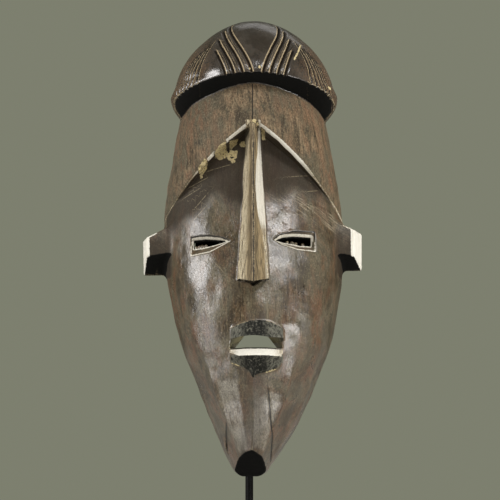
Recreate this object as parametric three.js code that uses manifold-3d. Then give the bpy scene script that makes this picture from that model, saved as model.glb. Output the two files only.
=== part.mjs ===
// A lwalwa face mask carved from one block of wood, resting on a black steel display stand.
// Millimetres, +Z up, the mask looks along -Y, and the origin is the middle of the foot's underside.
import * as THREE from "three";
import Module from "manifold-3d";
import { mergeVertices } from "three/addons/utils/BufferGeometryUtils.js";

const wasm = await Module();
wasm.setup();

// Stand
const FOOT = { width: 130, depth: 130, thick: 10, bevel: 1.5, sides: 4 };
const ROD = { diameter: 6, y: 35, bottom: 3.3, sides: 16 };
const CLEARANCE = 0.3;
const CRADLE = {
  x: 2.7, diameter: 5, barHeight: 84, barForward: -5, barHalf: 12, sides: 8, steps: 44,
  arm: [[30, 18, 250], [33, 14, 215], [34, 11, 175], [34, 5, 135], [32, -3, 106], [25, -5, 88]],
};
const CROSS_BAR = { height: 24, thick: 3, reach: 44, middle: 178, forward: 15.1 };
const PAD = { diameter: 13, thick: 6, sides: 12 };

// The mask's own axes: x to the viewer's right, f forward of the flat back, h above the chin's lowest edge
const MASK = { x: 3.2, backY: 30, chinZ: 110 };

// Outline of the face seen from the front, and its slightly bent midline
const HALF_WIDTH = curve([[-1, 2.5], [0, 6.3], [2.5, 10.8], [8, 13.7], [18, 20.5], [37, 30.9], [56.5, 39.7],
  [76, 47.5], [95, 55.3], [115, 60.6], [134, 64.5], [150, 67], [175, 68.5], [205, 67.7], [241, 61.9],
  [272, 56.4], [300, 50]]);
const MIDLINE = curve([[-1, -2.6], [8, -2.1], [37, 1], [76, 2], [134, 1.2], [205, -0.3], [300, -0.7]]);

// Depth of the middle of the face and of the bulging forehead, forward of the back
const FACE_DEPTH = curve([[-1, 55], [17, 57], [40, 60], [60, 62], [80, 66], [113, 69], [143, 67.5],
  [173, 61.5], [200, 57], [230, 54.5], [262, 55], [290, 56]]);
const FOREHEAD_DEPTH = curve([[170, 61], [200, 66.5], [230, 71], [261, 74], [278, 71], [292, 67.5],
  [310, 60]]);
const FACE_HEIGHTS = [-1, 0, 2.5, 5, ...evenly(5, 8, 58), ...evenly(7, 68, 150), ...evenly(9, 163, 290)];
const FACE_STATIONS = 24;
const SECTION_POWER = 2.5;
const FACE_RIDGE = curve([[0, 3.2], [50, 3.2], [75, 1.2], [100, 0.6], [290, 0.6]]);
const FOREHEAD_RIDGE = 3.6;
const RIDGE_REACH = 0.5;
const FOREHEAD = { top: 305, rows: 7, stations: 30 };
// Closed solids inside the block start this far behind its flat back, which is cut last
const BEHIND = -3;

// Brow: a ledge along a pointed arch, whose edge is cut back by a narrow bevel
const BROW = { apex: 260, slope: 0.62, bend: 0.0053, bevel: 2.4, bevelShare: 0.3, drop: 1.2,
  ledgeShare: 0.9 };

// Crest: part of an ellipsoid that overhangs the forehead
const CREST = {
  x: 0.5, f: 20, h: 289, radiusX: 64, radiusF: 68, radiusH: 61, power: 1.68,
  skirt: 22, skirtTaper: 0.35, flare: 0.045, flareHeight: 0.12, segments: 40,
};
const CREST_ELEVATIONS = [0, 3, 7, ...evenly(8, 13, 81)];
const RIM = { middle: 296.5, fall: 12.5, reach: 62, power: 2.4 };
const RIM_ROOT = { middle: 291, fall: 20.5, reach: 56, power: 1.6, depth: 70, half: 60, share: 0.9 };

// Grooves in the crest; azimuths and elevations in degrees, and each step is the change from one to the next
const STRAND = {
  width: 3.4, depth: 2, steps: 7, count: 4, bend: 1.8,
  lowAzimuth: { left: -1, right: 5.5 }, lowStep: { left: -6.4, right: 5.4 },
  topAzimuth: 43, topStep: -3.5, startElevation: -4, lowElevation: 5, highElevation: 63, highStep: -11,
};
const LOCK = {
  width: 2.6, depth: 1.3, steps: 4, count: 5,
  azimuth: 43, azimuthStep: 7, lean: 4, leanStep: 2, lowElevation: -4, rise: 34, riseStep: -3,
};

const NOSE = { topHeight: 261.5, bottomHeight: 143, tipDrop: 5, topHalf: 4.9, bottomHalf: 11.7,
  topDepth: 77, bottomDepth: 96, ridgeHalf: 0.7, x: -0.3, inside: 8 };
const NOTCH = { mouth: { f: 78, half: 9.5, low: 136.2 }, root: { f: 63, half: 5.5, low: 139 } };

const MOUTH = { x: 1.9, low: 92.6, high: 99.6, left: -17.2, right: 20.8, leftLean: 1.8, rightLean: 0.8,
  back: 20, front: 110 };
const LIP = { project: 12, flat: 0.5, endLoss: 0.62, proud: 0.4, inside: 10, stations: 8 };
const UPPER_LIP = { left: -16.6, right: 22.4, middleTop: 112.8, endTop: 106.2, power: 1.7,
  edgeAbove: 0.8, edgeBelow: 0.6, edgeBack: 1.5 };
const LOWER_LIP = { left: -17.4, right: 20.6, middleLow: 73.6, endLow: 82.5, power: 1.5,
  edge: 86.6, bevelRun: 7 };

const EYE = { bevelWidth: 2.7, bevelDepth: 4.2, tipShare: 1.6, rise: 3, back: 15 };
// Corner points of each eye's outer edge, in order from the inner tip along the upper lid
const LEFT_EYE = [[-15.3, 173.6], [-26, 177], [-37, 178.4], [-47.1, 177.8],
  [-47.3, 163.1], [-37, 165.4], [-26, 169.2]];
const RIGHT_EYE = [[14.4, 174], [21, 178.4], [32.4, 181.4], [46.3, 181.9],
  [46.5, 166.4], [32.4, 167.2], [21, 170.8]];

// Each ear is a wedge: its outer end face and its root inside the head, corners as [x, f, h]
const LEFT_EAR = {
  end: [[-81.4, 31, 176], [-81.6, 29, 164.5], [-84, 7, 153.4], [-85.1, 7, 177]],
  root: [[-60, 34, 197], [-60, 34, 173.5], [-60, 5, 153.4], [-60, 5, 197]],
};
const RIGHT_EAR = {
  end: [[76.8, 32, 182], [78.4, 29, 165.5], [81.2, 8, 156.3], [83.2, 8, 182.6]],
  root: [[60, 34, 199], [60, 34, 172], [60, 5, 156.3], [60, 5, 199]],
};

// The chin ends in a slanted cut from its front edge back and down to its lowest edge
const CHIN_CUT = { frontF: 57, frontH: 17.2, backF: 10, backH: 0, heelH: 15,
  half: 60, behind: -30, below: -60 };

// The hollow's outer share of its width stays at its closed ends, where the depth keeps its least share
const HOLLOW = { low: 27, high: 283, wall: 12, front: 15.5, endPower: 6, endWidth: 0.45, leastDepth: 0.12,
  reach: 0.9995, behind: -9, rows: 18, stations: 16 };

const COLOUR = { wood: 0x4a3d30, steel: 0x141413, felt: 0x1c1c1b };

// A smooth curve through (position, value) pairs, as a function of position
function curve(pairs) {
  const slopes = pairs.map((pair, i) => {
    const before = pairs[Math.max(i - 1, 0)];
    const after = pairs[Math.min(i + 1, pairs.length - 1)];
    return (after[1] - before[1]) / (after[0] - before[0]);
  });
  return (position) => {
    const clamped = Math.min(Math.max(position, pairs[0][0]), pairs[pairs.length - 1][0]);
    let i = 0;
    while (i < pairs.length - 2 && clamped > pairs[i + 1][0]) i += 1;
    const span = pairs[i + 1][0] - pairs[i][0];
    const s = (clamped - pairs[i][0]) / span;
    const rest = 1 - s;
    return rest * rest * (1 + 2 * s) * pairs[i][1] + s * s * (3 - 2 * s) * pairs[i + 1][1]
      + s * rest * span * (rest * slopes[i] - s * slopes[i + 1]);
  };
}

// Height of the brow's lower edge at a distance from the midline
function browHeight(x) {
  const out = Math.abs(x);
  return BROW.apex - BROW.slope * out - BROW.bend * out * out;
}

// How far forward a rounded section reaches at t, from -1 at its left side to 1 at its right side
function section(t, depth, ridge) {
  const side = Math.min(Math.abs(t), 1);
  const round = (1 - side ** SECTION_POWER) ** (1 / SECTION_POWER);
  return (depth - ridge) * round + ridge * Math.max(0, 1 - side / RIDGE_REACH);
}

function across(t, h) {
  return MIDLINE(h) + t * HALF_WIDTH(h);
}

function faceAt(x, h) {
  return section((x - MIDLINE(h)) / HALF_WIDTH(h), FACE_DEPTH(h), FACE_RIDGE(h));
}

function point(x, f, h) {
  return new THREE.Vector3(x, -f, h);
}

// Signed volume of a closed set of triangles, positive when they face outwards
function signedVolume(points, faces) {
  let volume = 0;
  for (const [a, b, c] of faces) volume += points[a].dot(points[b].clone().cross(points[c])) / 6;
  return volume;
}

function solidFrom(points, faces) {
  const outward = signedVolume(points, faces) > 0 ? faces : faces.map(([a, b, c]) => [a, c, b]);
  return new wasm.Manifold(new wasm.Mesh({
    numProp: 3,
    vertProperties: new Float32Array(points.flatMap((p) => [p.x, p.y, p.z])),
    triVerts: new Uint32Array(outward.flat()),
  }));
}

// A closed solid through rings of points: neighbours are joined, and the two ends are closed by fans
function loft(rings) {
  const count = rings[0].length;
  const points = rings.flat();
  const faces = [];
  for (let i = 0; i < rings.length - 1; i += 1) {
    for (let j = 0; j < count; j += 1) {
      const a = i * count + j;
      const b = i * count + ((j + 1) % count);
      faces.push([a, b, b + count], [a, b + count, a + count]);
    }
  }
  for (const [ring, start] of [[rings[0], 0], [rings[rings.length - 1], points.length - count]]) {
    const middle = ring.reduce((sum, p) => sum.add(p), new THREE.Vector3()).divideScalar(count);
    const hub = points.push(middle) - 1;
    for (let j = 0; j < count; j += 1) {
      const next = start + ((j + 1) % count);
      faces.push(start === 0 ? [hub, next, start + j] : [hub, start + j, next]);
    }
  }
  return solidFrom(points, faces);
}

function solidOf(geometry) {
  const bare = geometry.clone();
  bare.deleteAttribute("normal");
  bare.deleteAttribute("uv");
  const merged = mergeVertices(bare, 1e-3);
  return new wasm.Manifold(new wasm.Mesh({
    numProp: 3,
    vertProperties: new Float32Array(merged.attributes.position.array),
    triVerts: new Uint32Array(merged.index.array),
  }));
}

function geometryOf(solid) {
  const mesh = solid.getMesh();
  const geometry = new THREE.BufferGeometry();
  geometry.setAttribute("position", new THREE.BufferAttribute(new Float32Array(mesh.vertProperties), 3));
  geometry.setIndex(new THREE.BufferAttribute(new Uint32Array(mesh.triVerts), 1));
  geometry.computeVertexNormals();
  return geometry;
}

function block(low, high) {
  const box = new THREE.BoxGeometry(high[0] - low[0], high[1] - low[1], high[2] - low[2]);
  box.translate((low[0] + high[0]) / 2, (low[1] + high[1]) / 2, (low[2] + high[2]) / 2);
  return solidOf(box);
}

function evenly(count, low, high) {
  return Array.from({ length: count + 1 }, (_, i) => low + ((high - low) * i) / count);
}

// Stations across a section, closer together towards the sides
function stations(count) {
  return evenly(count, -Math.PI / 2, Math.PI / 2).map((angle) => Math.sin(angle));
}

function faceSolid() {
  return loft(FACE_HEIGHTS.map((h) => {
    const front = stations(FACE_STATIONS)
      .map((t) => point(across(t, h), section(t, FACE_DEPTH(h), FACE_RIDGE(h)), h));
    return [point(across(-1, h), BEHIND, h), ...front, point(across(1, h), BEHIND, h)];
  }));
}

// Height at which the forehead's column at t meets the brow's arch, found by repeated correction
function columnFoot(t, extra) {
  const start = 220;
  const corrections = 12;
  let h = start;
  for (let i = 0; i < corrections; i += 1) h = browHeight(across(t, h)) + extra;
  return h;
}

// The forehead stands on the brow's arch: each column starts at the arch and ends inside the crest
function foreheadSolid() {
  const { top } = FOREHEAD;
  return loft(stations(FOREHEAD.stations).map((t) => {
    const depthAt = (h) => section(t, FOREHEAD_DEPTH(h), FOREHEAD_RIDGE);
    const low = columnFoot(t, 0);
    const high = columnFoot(t, BROW.bevel);
    const bevel = Math.min(BROW.bevel, depthAt(high) * BROW.bevelShare);
    const rows = evenly(FOREHEAD.rows, high, top).map((h) => point(across(t, h), depthAt(h), h));
    return [point(across(t, low - BROW.drop), BEHIND, low - BROW.drop),
      point(across(t, low - BROW.drop), faceAt(across(t, low), low) * BROW.ledgeShare, low - BROW.drop),
      point(across(t, low), depthAt(low) - bevel, low), ...rows, point(across(t, top), BEHIND, top)];
  }));
}

// The dome's upright profile as [radius, height] shares; below its widest level it draws in a little
function domeProfile(elevation) {
  const el = THREE.MathUtils.degToRad(elevation);
  if (el < 0) return [1 + CREST.skirtTaper * el, Math.sin(el)];
  const height = Math.sin(el) ** (2 / CREST.power);
  const waist = CREST.flare * Math.min(1, height / CREST.flareHeight) * (1 - height);
  return [Math.cos(el) ** (2 / CREST.power) * (1 - waist), height];
}

function domePoint(azimuth, elevation, grow = 0) {
  const az = THREE.MathUtils.degToRad(azimuth);
  const [radius, height] = domeProfile(elevation);
  return point(CREST.x + (CREST.radiusX + grow) * radius * Math.sin(az),
    CREST.f + (CREST.radiusF + grow) * radius * Math.cos(az),
    CREST.h + (CREST.radiusH + grow) * height);
}

function fall(shape, x) {
  return shape.middle - shape.fall * (Math.abs(x) / shape.reach) ** shape.power;
}

// Everything under the crest's rim: a surface that sinks from the rim in to the forehead
function underCrest() {
  const [half, back, front, bottom] = [75, -6, 130, 225];
  return loft(evenly(26, -half, half).map((x) => {
    const side = Math.min(Math.abs(x - CREST.x) / CREST.radiusX, 1);
    const rim = CREST.f + CREST.radiusF * Math.sqrt(1 - side * side);
    const root = RIM_ROOT.depth * Math.sqrt(Math.max(0, 1 - (x / RIM_ROOT.half) ** 2));
    const inner = root * RIM_ROOT.share;
    const upper = [0, root * 0.8, inner, rim, rim * 1.35].map((f) => {
      const near = THREE.MathUtils.clamp((f - inner) / Math.max(rim - inner, 1), 0, 1);
      return point(x, f, fall(RIM_ROOT, x) + (fall(RIM, x) - fall(RIM_ROOT, x)) * near);
    });
    return [point(x, back, fall(RIM_ROOT, x)), ...upper, point(x, front, fall(RIM, x)),
      point(x, front, bottom), point(x, back, bottom)];
  }));
}

// A V-shaped groove along a path of [azimuth, elevation] pairs over the crest
function groove(path, width, depth) {
  return loft(path.map(([azimuth, elevation], i) => {
    const here = domePoint(azimuth, elevation);
    const outside = domePoint(azimuth, elevation, 2).sub(here).normalize();
    const ahead = domePoint(...path[Math.min(i + 1, path.length - 1)]);
    const behind = domePoint(...path[Math.max(i - 1, 0)]);
    const sideways = ahead.sub(behind).normalize().cross(outside).normalize();
    const open = here.clone().addScaledVector(outside, 1);
    const half = (width / 2) * (1 + 1 / depth);
    return [open.clone().addScaledVector(sideways, half), here.clone().addScaledVector(outside, -depth),
      open.clone().addScaledVector(sideways, -half)];
  }));
}

// The strands fan down from the crown to the middle of the rim, four a side, with a plain wedge between
function strandGrooves() {
  const grooves = [];
  for (const [name, side] of [["left", -1], ["right", 1]]) {
    for (let i = 0; i < STRAND.count; i += 1) {
      const low = STRAND.lowAzimuth[name] + STRAND.lowStep[name] * i;
      const top = side * (STRAND.topAzimuth + STRAND.topStep * i);
      const high = STRAND.highElevation + STRAND.highStep * i;
      const path = evenly(STRAND.steps, 0, 1).map((s) => [
        low + (top - low) * s ** STRAND.bend,
        STRAND.lowElevation + (high - STRAND.lowElevation) * s,
      ]);
      grooves.push(groove([[low, STRAND.startElevation], ...path], STRAND.width, STRAND.depth));
    }
  }
  return grooves;
}

// The fine locks stand beside the strands, on either side of the crest
function lockGrooves() {
  const grooves = [];
  for (const side of [-1, 1]) {
    for (let i = 0; i < LOCK.count; i += 1) {
      const path = evenly(LOCK.steps, 0, 1).map((s) => [
        side * (LOCK.azimuth + LOCK.azimuthStep * i - (LOCK.lean + LOCK.leanStep * i) * s),
        LOCK.lowElevation + (LOCK.rise + LOCK.riseStep * i) * s,
      ]);
      grooves.push(groove(path, LOCK.width, LOCK.depth));
    }
  }
  return grooves;
}

function crestSolid() {
  const outline = [-CREST.skirt, ...CREST_ELEVATIONS].map((el) => new THREE.Vector2(...domeProfile(el)));
  outline.unshift(new THREE.Vector2(0, outline[0].y));
  outline.push(new THREE.Vector2(0, 1));
  const dome = new THREE.LatheGeometry(outline, CREST.segments);
  dome.rotateX(Math.PI / 2);
  dome.scale(CREST.radiusX, CREST.radiusF, CREST.radiusH);
  dome.translate(CREST.x, -CREST.f, CREST.h);
  let crest = solidOf(dome).subtract(underCrest());
  for (const cut of [...strandGrooves(), ...lockGrooves()]) crest = crest.subtract(cut);
  return crest;
}

function noseSolid() {
  return loft(evenly(6, 0, 1).map((s) => {
    const h = NOSE.bottomHeight + (NOSE.topHeight - NOSE.bottomHeight) * s;
    const half = NOSE.bottomHalf + (NOSE.topHalf - NOSE.bottomHalf) * s;
    const ridge = NOSE.bottomDepth + (NOSE.topDepth - NOSE.bottomDepth) * s;
    const tip = h - NOSE.tipDrop * (1 - s);
    const base = faceAt(NOSE.x + half, h);
    return [point(NOSE.x - half, base - NOSE.inside, h), point(NOSE.x - half, base, h),
      point(NOSE.x - NOSE.ridgeHalf, ridge, tip), point(NOSE.x + NOSE.ridgeHalf, ridge, tip),
      point(NOSE.x + half, base, h), point(NOSE.x + half, base - NOSE.inside, h)];
  }));
}

// A small V cut into the lip's groove, just under the nose
function noseNotch() {
  return loft([NOTCH.mouth, NOTCH.root].map(({ f, half, low }) => [point(NOSE.x - half, f, NOSE.bottomHeight),
    point(NOSE.x + half, f, NOSE.bottomHeight), point(NOSE.x, f, low)]));
}

function lipStations(lip) {
  return evenly(LIP.stations, -1, 1).map((s) => ({
    s: Math.abs(s),
    x: MOUTH.x + (s < 0 ? (MOUTH.x - lip.left) * s : (lip.right - MOUTH.x) * s),
  }));
}

// A lip stands out by its full amount over its flat middle, and slopes back to the cheek at each end
function lipReach(s) {
  return LIP.project * (1 - LIP.endLoss * Math.max(0, (s - LIP.flat) / (1 - LIP.flat)));
}

function upperLip() {
  return loft(lipStations(UPPER_LIP).map(({ s, x }) => {
    const top = UPPER_LIP.middleTop - (UPPER_LIP.middleTop - UPPER_LIP.endTop) * s ** UPPER_LIP.power;
    const skin = faceAt(x, top);
    const front = faceAt(x, MOUTH.high) + lipReach(s);
    return [point(x, skin - LIP.inside, top), point(x, skin + LIP.proud, top),
      point(x, front, MOUTH.high + UPPER_LIP.edgeAbove),
      point(x, front - UPPER_LIP.edgeBack, MOUTH.high - UPPER_LIP.edgeBelow),
      point(x, skin - LIP.inside, MOUTH.high)];
  }));
}

function lowerLip() {
  return loft(lipStations(LOWER_LIP).map(({ s, x }) => {
    const low = LOWER_LIP.middleLow + (LOWER_LIP.endLow - LOWER_LIP.middleLow) * s ** LOWER_LIP.power;
    const skin = faceAt(x, low);
    const front = faceAt(x, LOWER_LIP.edge) + lipReach(s);
    return [point(x, skin - LIP.inside, MOUTH.low), point(x, front - LOWER_LIP.bevelRun, MOUTH.low),
      point(x, front, LOWER_LIP.edge), point(x, skin + LIP.proud, low), point(x, skin - LIP.inside, low)];
  }));
}

function mouthSlot() {
  const corners = [[MOUTH.left, MOUTH.low], [MOUTH.right, MOUTH.low],
    [MOUTH.right + MOUTH.rightLean, MOUTH.high], [MOUTH.left + MOUTH.leftLean, MOUTH.high]];
  return loft([MOUTH.back, MOUTH.front].map((f) => corners.map(([x, h]) => point(x, f, h))));
}

// An eye is a bevelled hole: wide at the face, narrow a little deeper, then straight into the hollow
function eyeHole(corners) {
  const count = corners.length;
  const middle = corners.reduce(([x, h], [cx, ch]) => [x + cx / count, h + ch / count], [0, 0]);
  const inset = (amount) => corners.map(([x, h], i) => {
    const [bx, bh] = corners[(i + count - 1) % count];
    const [ax, ah] = corners[(i + 1) % count];
    const along = new THREE.Vector2(ax - bx, ah - bh).normalize();
    const inward = new THREE.Vector2(-along.y, along.x);
    if (inward.dot(new THREE.Vector2(middle[0] - x, middle[1] - h)) < 0) inward.negate();
    const tip = i === 0 ? EYE.tipShare : 1;
    return [x + inward.x * amount * tip, h + inward.y * amount * tip];
  });
  const edge = corners.map(([x, h]) => faceAt(x, h));
  const outer = inset(-EYE.rise * (EYE.bevelWidth / EYE.bevelDepth));
  const inner = inset(EYE.bevelWidth);
  return loft([
    outer.map(([x, h], i) => point(x, edge[i] + EYE.rise, h)),
    inner.map(([x, h], i) => point(x, edge[i] - EYE.bevelDepth, h)),
    inner.map(([x, h]) => point(x, EYE.back, h)),
  ]);
}

function ear(shape) {
  return loft([shape.end, shape.root].map((ring) => ring.map(([x, f, h]) => point(x, f, h))));
}

function hollowDepth(h) {
  return FACE_DEPTH(h) - HOLLOW.front;
}

// Share of its full size that the hollow has at a height: it closes in a rounded end above and below
function hollowEnd(h) {
  const s = (2 * h - HOLLOW.low - HOLLOW.high) / (HOLLOW.high - HOLLOW.low);
  return Math.sqrt(Math.max(0, 1 - Math.abs(s) ** HOLLOW.endPower));
}

function hollowSolid() {
  const middle = (HOLLOW.low + HOLLOW.high) / 2;
  const half = (HOLLOW.high - HOLLOW.low) / 2;
  const heights = stations(HOLLOW.rows).map((s) => middle + half * s * HOLLOW.reach);
  return loft(heights.map((h) => {
    const end = Math.max(hollowEnd(h), HOLLOW.leastDepth);
    const wide = (HALF_WIDTH(h) - HOLLOW.wall) * (HOLLOW.endWidth + (1 - HOLLOW.endWidth) * end);
    const front = stations(HOLLOW.stations)
      .map((t) => point(MIDLINE(h) + t * wide, section(t, hollowDepth(h) * end, 0), h));
    return [point(MIDLINE(h) - wide, HOLLOW.behind, h), ...front, point(MIDLINE(h) + wide, HOLLOW.behind, h)];
  }));
}

// Below the chin the block is cut along a slanted plane, and its heel is cut up to the back
function chinCut() {
  const { frontF, frontH, backF, backH, heelH, half, behind, below } = CHIN_CUT;
  const front = frontH + ((frontH - backH) / (frontF - backF)) * frontF;
  return loft([-half, half].map((x) => [point(x, 0, heelH), point(x, backF, backH),
    point(x, 2 * frontF, front), point(x, 2 * frontF, below), point(x, behind, below),
    point(x, behind, heelH)]));
}

function maskSolid() {
  let mask = faceSolid().add(foreheadSolid()).add(crestSolid()).add(noseSolid());
  mask = mask.add(ear(LEFT_EAR)).add(ear(RIGHT_EAR)).add(upperLip()).add(lowerLip());
  mask = mask.subtract(hollowSolid()).subtract(mouthSlot());
  mask = mask.subtract(eyeHole(LEFT_EYE)).subtract(eyeHole(RIGHT_EYE)).subtract(noseNotch());
  mask = mask.subtract(chinCut());
  const behindTheBack = block([-150, 0, -100], [150, 200, 500]);
  return mask.subtract(behindTheBack);
}

function material(colour, roughness, metalness) {
  return new THREE.MeshStandardMaterial({ color: colour, roughness, metalness });
}

function named(name, geometry, finish) {
  const mesh = new THREE.Mesh(geometry, finish);
  mesh.name = name;
  return mesh;
}

// The foot is a plate with its upper edge bevelled and a blind socket for the rod
function footSolid() {
  const half = FOOT.width / 2;
  const shape = new THREE.Shape([[-half, -half], [half, -half], [half, half], [-half, half]]
    .map(([x, y]) => new THREE.Vector2(x, y * FOOT.depth / FOOT.width)));
  const plate = new THREE.ExtrudeGeometry(shape, {
    depth: FOOT.thick - FOOT.bevel, bevelEnabled: false, steps: 1,
  });
  const corner = Math.SQRT2 * half;
  const top = new THREE.CylinderGeometry(corner - Math.SQRT2 * FOOT.bevel, corner, FOOT.bevel, FOOT.sides);
  top.rotateX(Math.PI / 2);
  top.rotateZ(Math.PI / FOOT.sides);
  top.translate(0, 0, FOOT.thick - FOOT.bevel / 2);
  const socketRadius = ROD.diameter / 2 + CLEARANCE;
  const socket = new THREE.CylinderGeometry(socketRadius, socketRadius, FOOT.thick, ROD.sides);
  socket.rotateX(Math.PI / 2);
  socket.translate(0, ROD.y, FOOT.thick / 2 + ROD.bottom - CLEARANCE);
  return solidOf(plate).add(solidOf(top)).subtract(solidOf(socket));
}

// A point on the stand, given forward of the mask's back and above its chin
function standPoint(x, f, h) {
  return new THREE.Vector3(x, MASK.backY - f, MASK.chinZ + h);
}

// The cradle is one bent rod: a low cross-piece that passes behind the mouth, and two arms up to the crown
function cradlePath() {
  const side = [...CRADLE.arm, [CRADLE.barHalf, CRADLE.barForward, CRADLE.barHeight]];
  const left = side.map(([x, f, h]) => standPoint(CRADLE.x - x, f, h));
  const right = side.map(([x, f, h]) => standPoint(CRADLE.x + x, f, h)).reverse();
  return new THREE.CatmullRomCurve3([...left, ...right], false, "centripetal");
}

function cradleGeometry(path) {
  const section = new THREE.Shape(evenly(CRADLE.sides - 1, 0, 2 * Math.PI * (1 - 1 / CRADLE.sides))
    .map((angle) => new THREE.Vector2(Math.cos(angle), Math.sin(angle)).multiplyScalar(CRADLE.diameter / 2)));
  return new THREE.ExtrudeGeometry(section, { steps: CRADLE.steps, extrudePath: path });
}

const object = new THREE.Group();
const wood = material(COLOUR.wood, 0.45, 0);
const steel = material(COLOUR.steel, 0.5, 0.6);
const felt = material(COLOUR.felt, 0.95, 0);

const mask = named("mask", geometryOf(maskSolid()), wood);
mask.position.set(MASK.x, MASK.backY, MASK.chinZ);
object.add(mask);

const foot = named("foot", geometryOf(footSolid()), steel);
object.add(foot);

const path = cradlePath();
const rodTop = path.getPointAt(0.5).z - CRADLE.diameter / 2 - CLEARANCE;
const rodLength = rodTop - ROD.bottom;
const rodShape = new THREE.CylinderGeometry(ROD.diameter / 2, ROD.diameter / 2, rodLength, ROD.sides);
const rod = named("rod", rodShape, steel);
rod.rotation.x = Math.PI / 2;
rod.position.set(0, ROD.y, (rodTop + ROD.bottom) / 2);
object.add(rod);

object.add(named("cradle", cradleGeometry(path), steel));

const barShape = new THREE.BoxGeometry(2 * CROSS_BAR.reach, CROSS_BAR.thick, CROSS_BAR.height);
const crossBar = named("cross_bar", barShape, steel);
crossBar.position.copy(standPoint(CRADLE.x, CROSS_BAR.forward + CROSS_BAR.thick / 2, CROSS_BAR.middle));
object.add(crossBar);

const padShape = new THREE.CylinderGeometry(PAD.diameter / 2, PAD.diameter / 2, PAD.thick, PAD.sides);
for (const [name, share] of [["pad_left", 0], ["pad_right", 1]]) {
  const pad = named(name, padShape, felt);
  const outward = path.getTangentAt(share).multiplyScalar(share === 0 ? -1 : 1);
  pad.quaternion.setFromUnitVectors(new THREE.Vector3(0, 1, 0), outward);
  pad.position.copy(path.getPointAt(share)).addScaledVector(outward, PAD.thick / 2 + CLEARANCE);
  object.add(pad);
}

export default object;
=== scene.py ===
"""Looks of a lwalwa face mask, carved from one block of dark wood, on its black steel display stand.

The mask is built as a field: a number for each place, in millimetres, that is negative inside the wood.
Each carved feature is a class that holds its sizes, adds its own form to the field and says where its
paint, wear and soot lie; shade, shadows, highlights and light are also painted onto the wood's colour.
A fine mesh is then drawn over the field's zero surface.
"""

import itertools
import logging
import math
from collections.abc import Callable, Sequence
from dataclasses import dataclass, field
from enum import Enum

import bmesh
import bpy
import numpy as np
import numpy.typing as npt
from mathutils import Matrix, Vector


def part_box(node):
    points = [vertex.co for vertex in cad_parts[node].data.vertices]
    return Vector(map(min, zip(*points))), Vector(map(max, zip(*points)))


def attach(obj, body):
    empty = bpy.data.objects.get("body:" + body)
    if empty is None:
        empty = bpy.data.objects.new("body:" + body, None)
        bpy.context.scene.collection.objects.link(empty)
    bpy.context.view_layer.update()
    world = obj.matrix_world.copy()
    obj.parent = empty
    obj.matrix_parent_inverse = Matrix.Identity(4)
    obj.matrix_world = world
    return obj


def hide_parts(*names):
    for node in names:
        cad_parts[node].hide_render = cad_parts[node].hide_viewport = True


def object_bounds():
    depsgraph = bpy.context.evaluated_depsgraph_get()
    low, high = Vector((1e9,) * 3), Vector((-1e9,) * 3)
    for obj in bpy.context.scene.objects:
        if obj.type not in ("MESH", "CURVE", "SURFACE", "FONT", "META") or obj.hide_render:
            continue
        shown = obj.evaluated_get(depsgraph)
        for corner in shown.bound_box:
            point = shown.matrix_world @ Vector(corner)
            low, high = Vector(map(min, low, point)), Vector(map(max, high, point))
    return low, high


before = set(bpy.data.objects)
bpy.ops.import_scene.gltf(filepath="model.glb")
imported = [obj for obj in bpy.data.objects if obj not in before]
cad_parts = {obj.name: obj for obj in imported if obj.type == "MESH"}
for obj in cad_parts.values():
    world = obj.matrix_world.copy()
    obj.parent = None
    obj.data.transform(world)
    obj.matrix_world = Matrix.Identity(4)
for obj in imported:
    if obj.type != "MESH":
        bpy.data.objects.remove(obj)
CAD_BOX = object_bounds()

Array = npt.NDArray[np.float64]
Pair = tuple[float, float]
Triple = tuple[float, float, float]
Colour = tuple[float, float, float]
Outline = tuple[Pair, ...]
Corners = tuple[Triple, Triple, Triple, Triple]
Socket = bpy.types.NodeSocket
Material = bpy.types.Material
Mesh = bpy.types.Mesh

LOG = logging.getLogger("mask")
MM = 0.001
FAR = 30.0


class Slot(Enum):
    """The record's material slots."""

    WOOD = "carved_wood"
    STEEL = "black_steel"
    FELT = "black_felt"


class Side(Enum):
    """The two sides of the mask, as someone who faces it sees them."""

    LEFT = -1
    RIGHT = 1


# Fields and curves


@dataclass(frozen=True)
class Points:
    """Places in the mask's own axes, in millimetres.

    x runs to the viewer's right, f forward from the flat back, h up from the chin's lowest edge.
    """

    x: Array
    f: Array
    h: Array

    @classmethod
    def of(cls, rows: Array) -> "Points":
        """Makes points from an array of x, f, h rows."""
        return cls(rows[:, 0], rows[:, 1], rows[:, 2])

    def where(self, chosen: npt.NDArray[np.bool_]) -> "Points":
        """Keeps the chosen points."""
        return Points(self.x[chosen], self.f[chosen], self.h[chosen])


class Curve:
    """A smooth curve through (position, value) pairs, kept as a fine table."""

    STEP = 0.25

    def __init__(self, *pairs: Pair) -> None:
        """Works the table out.

        Args:
            pairs: positions in rising order, each with the curve's value there.
        """
        place, value = np.array(pairs, float).T
        order = np.arange(len(place))
        before = np.maximum(order - 1, 0)
        after = np.minimum(order + 1, order[-1])
        slope = (value[after] - value[before]) / (place[after] - place[before])
        spots = np.minimum(np.arange(place[0], place[-1] + self.STEP, self.STEP), place[-1])
        i = np.clip(np.searchsorted(place, spots) - 1, 0, order[-1] - 1)
        span = place[i + 1] - place[i]
        s = (spots - place[i]) / span
        rest = 1 - s
        ends = rest**2 * (1 + 2 * s) * value[i] + s**2 * (3 - 2 * s) * value[i + 1]
        self.table = ends + s * rest * span * (rest * slope[i] - s * slope[i + 1])
        self.start = place[0]

    def __call__(self, position: Array) -> Array:
        """The curve's value at each position, held level past its ends.

        Args:
            position: positions along the curve.

        Returns:
            The values there.
        """
        spot = np.clip((position - self.start) / self.STEP, 0, len(self.table) - 1.001)
        low = spot.astype(np.int32)
        part = spot - low
        return self.table[low] * (1 - part) + self.table[low + 1] * part


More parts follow.
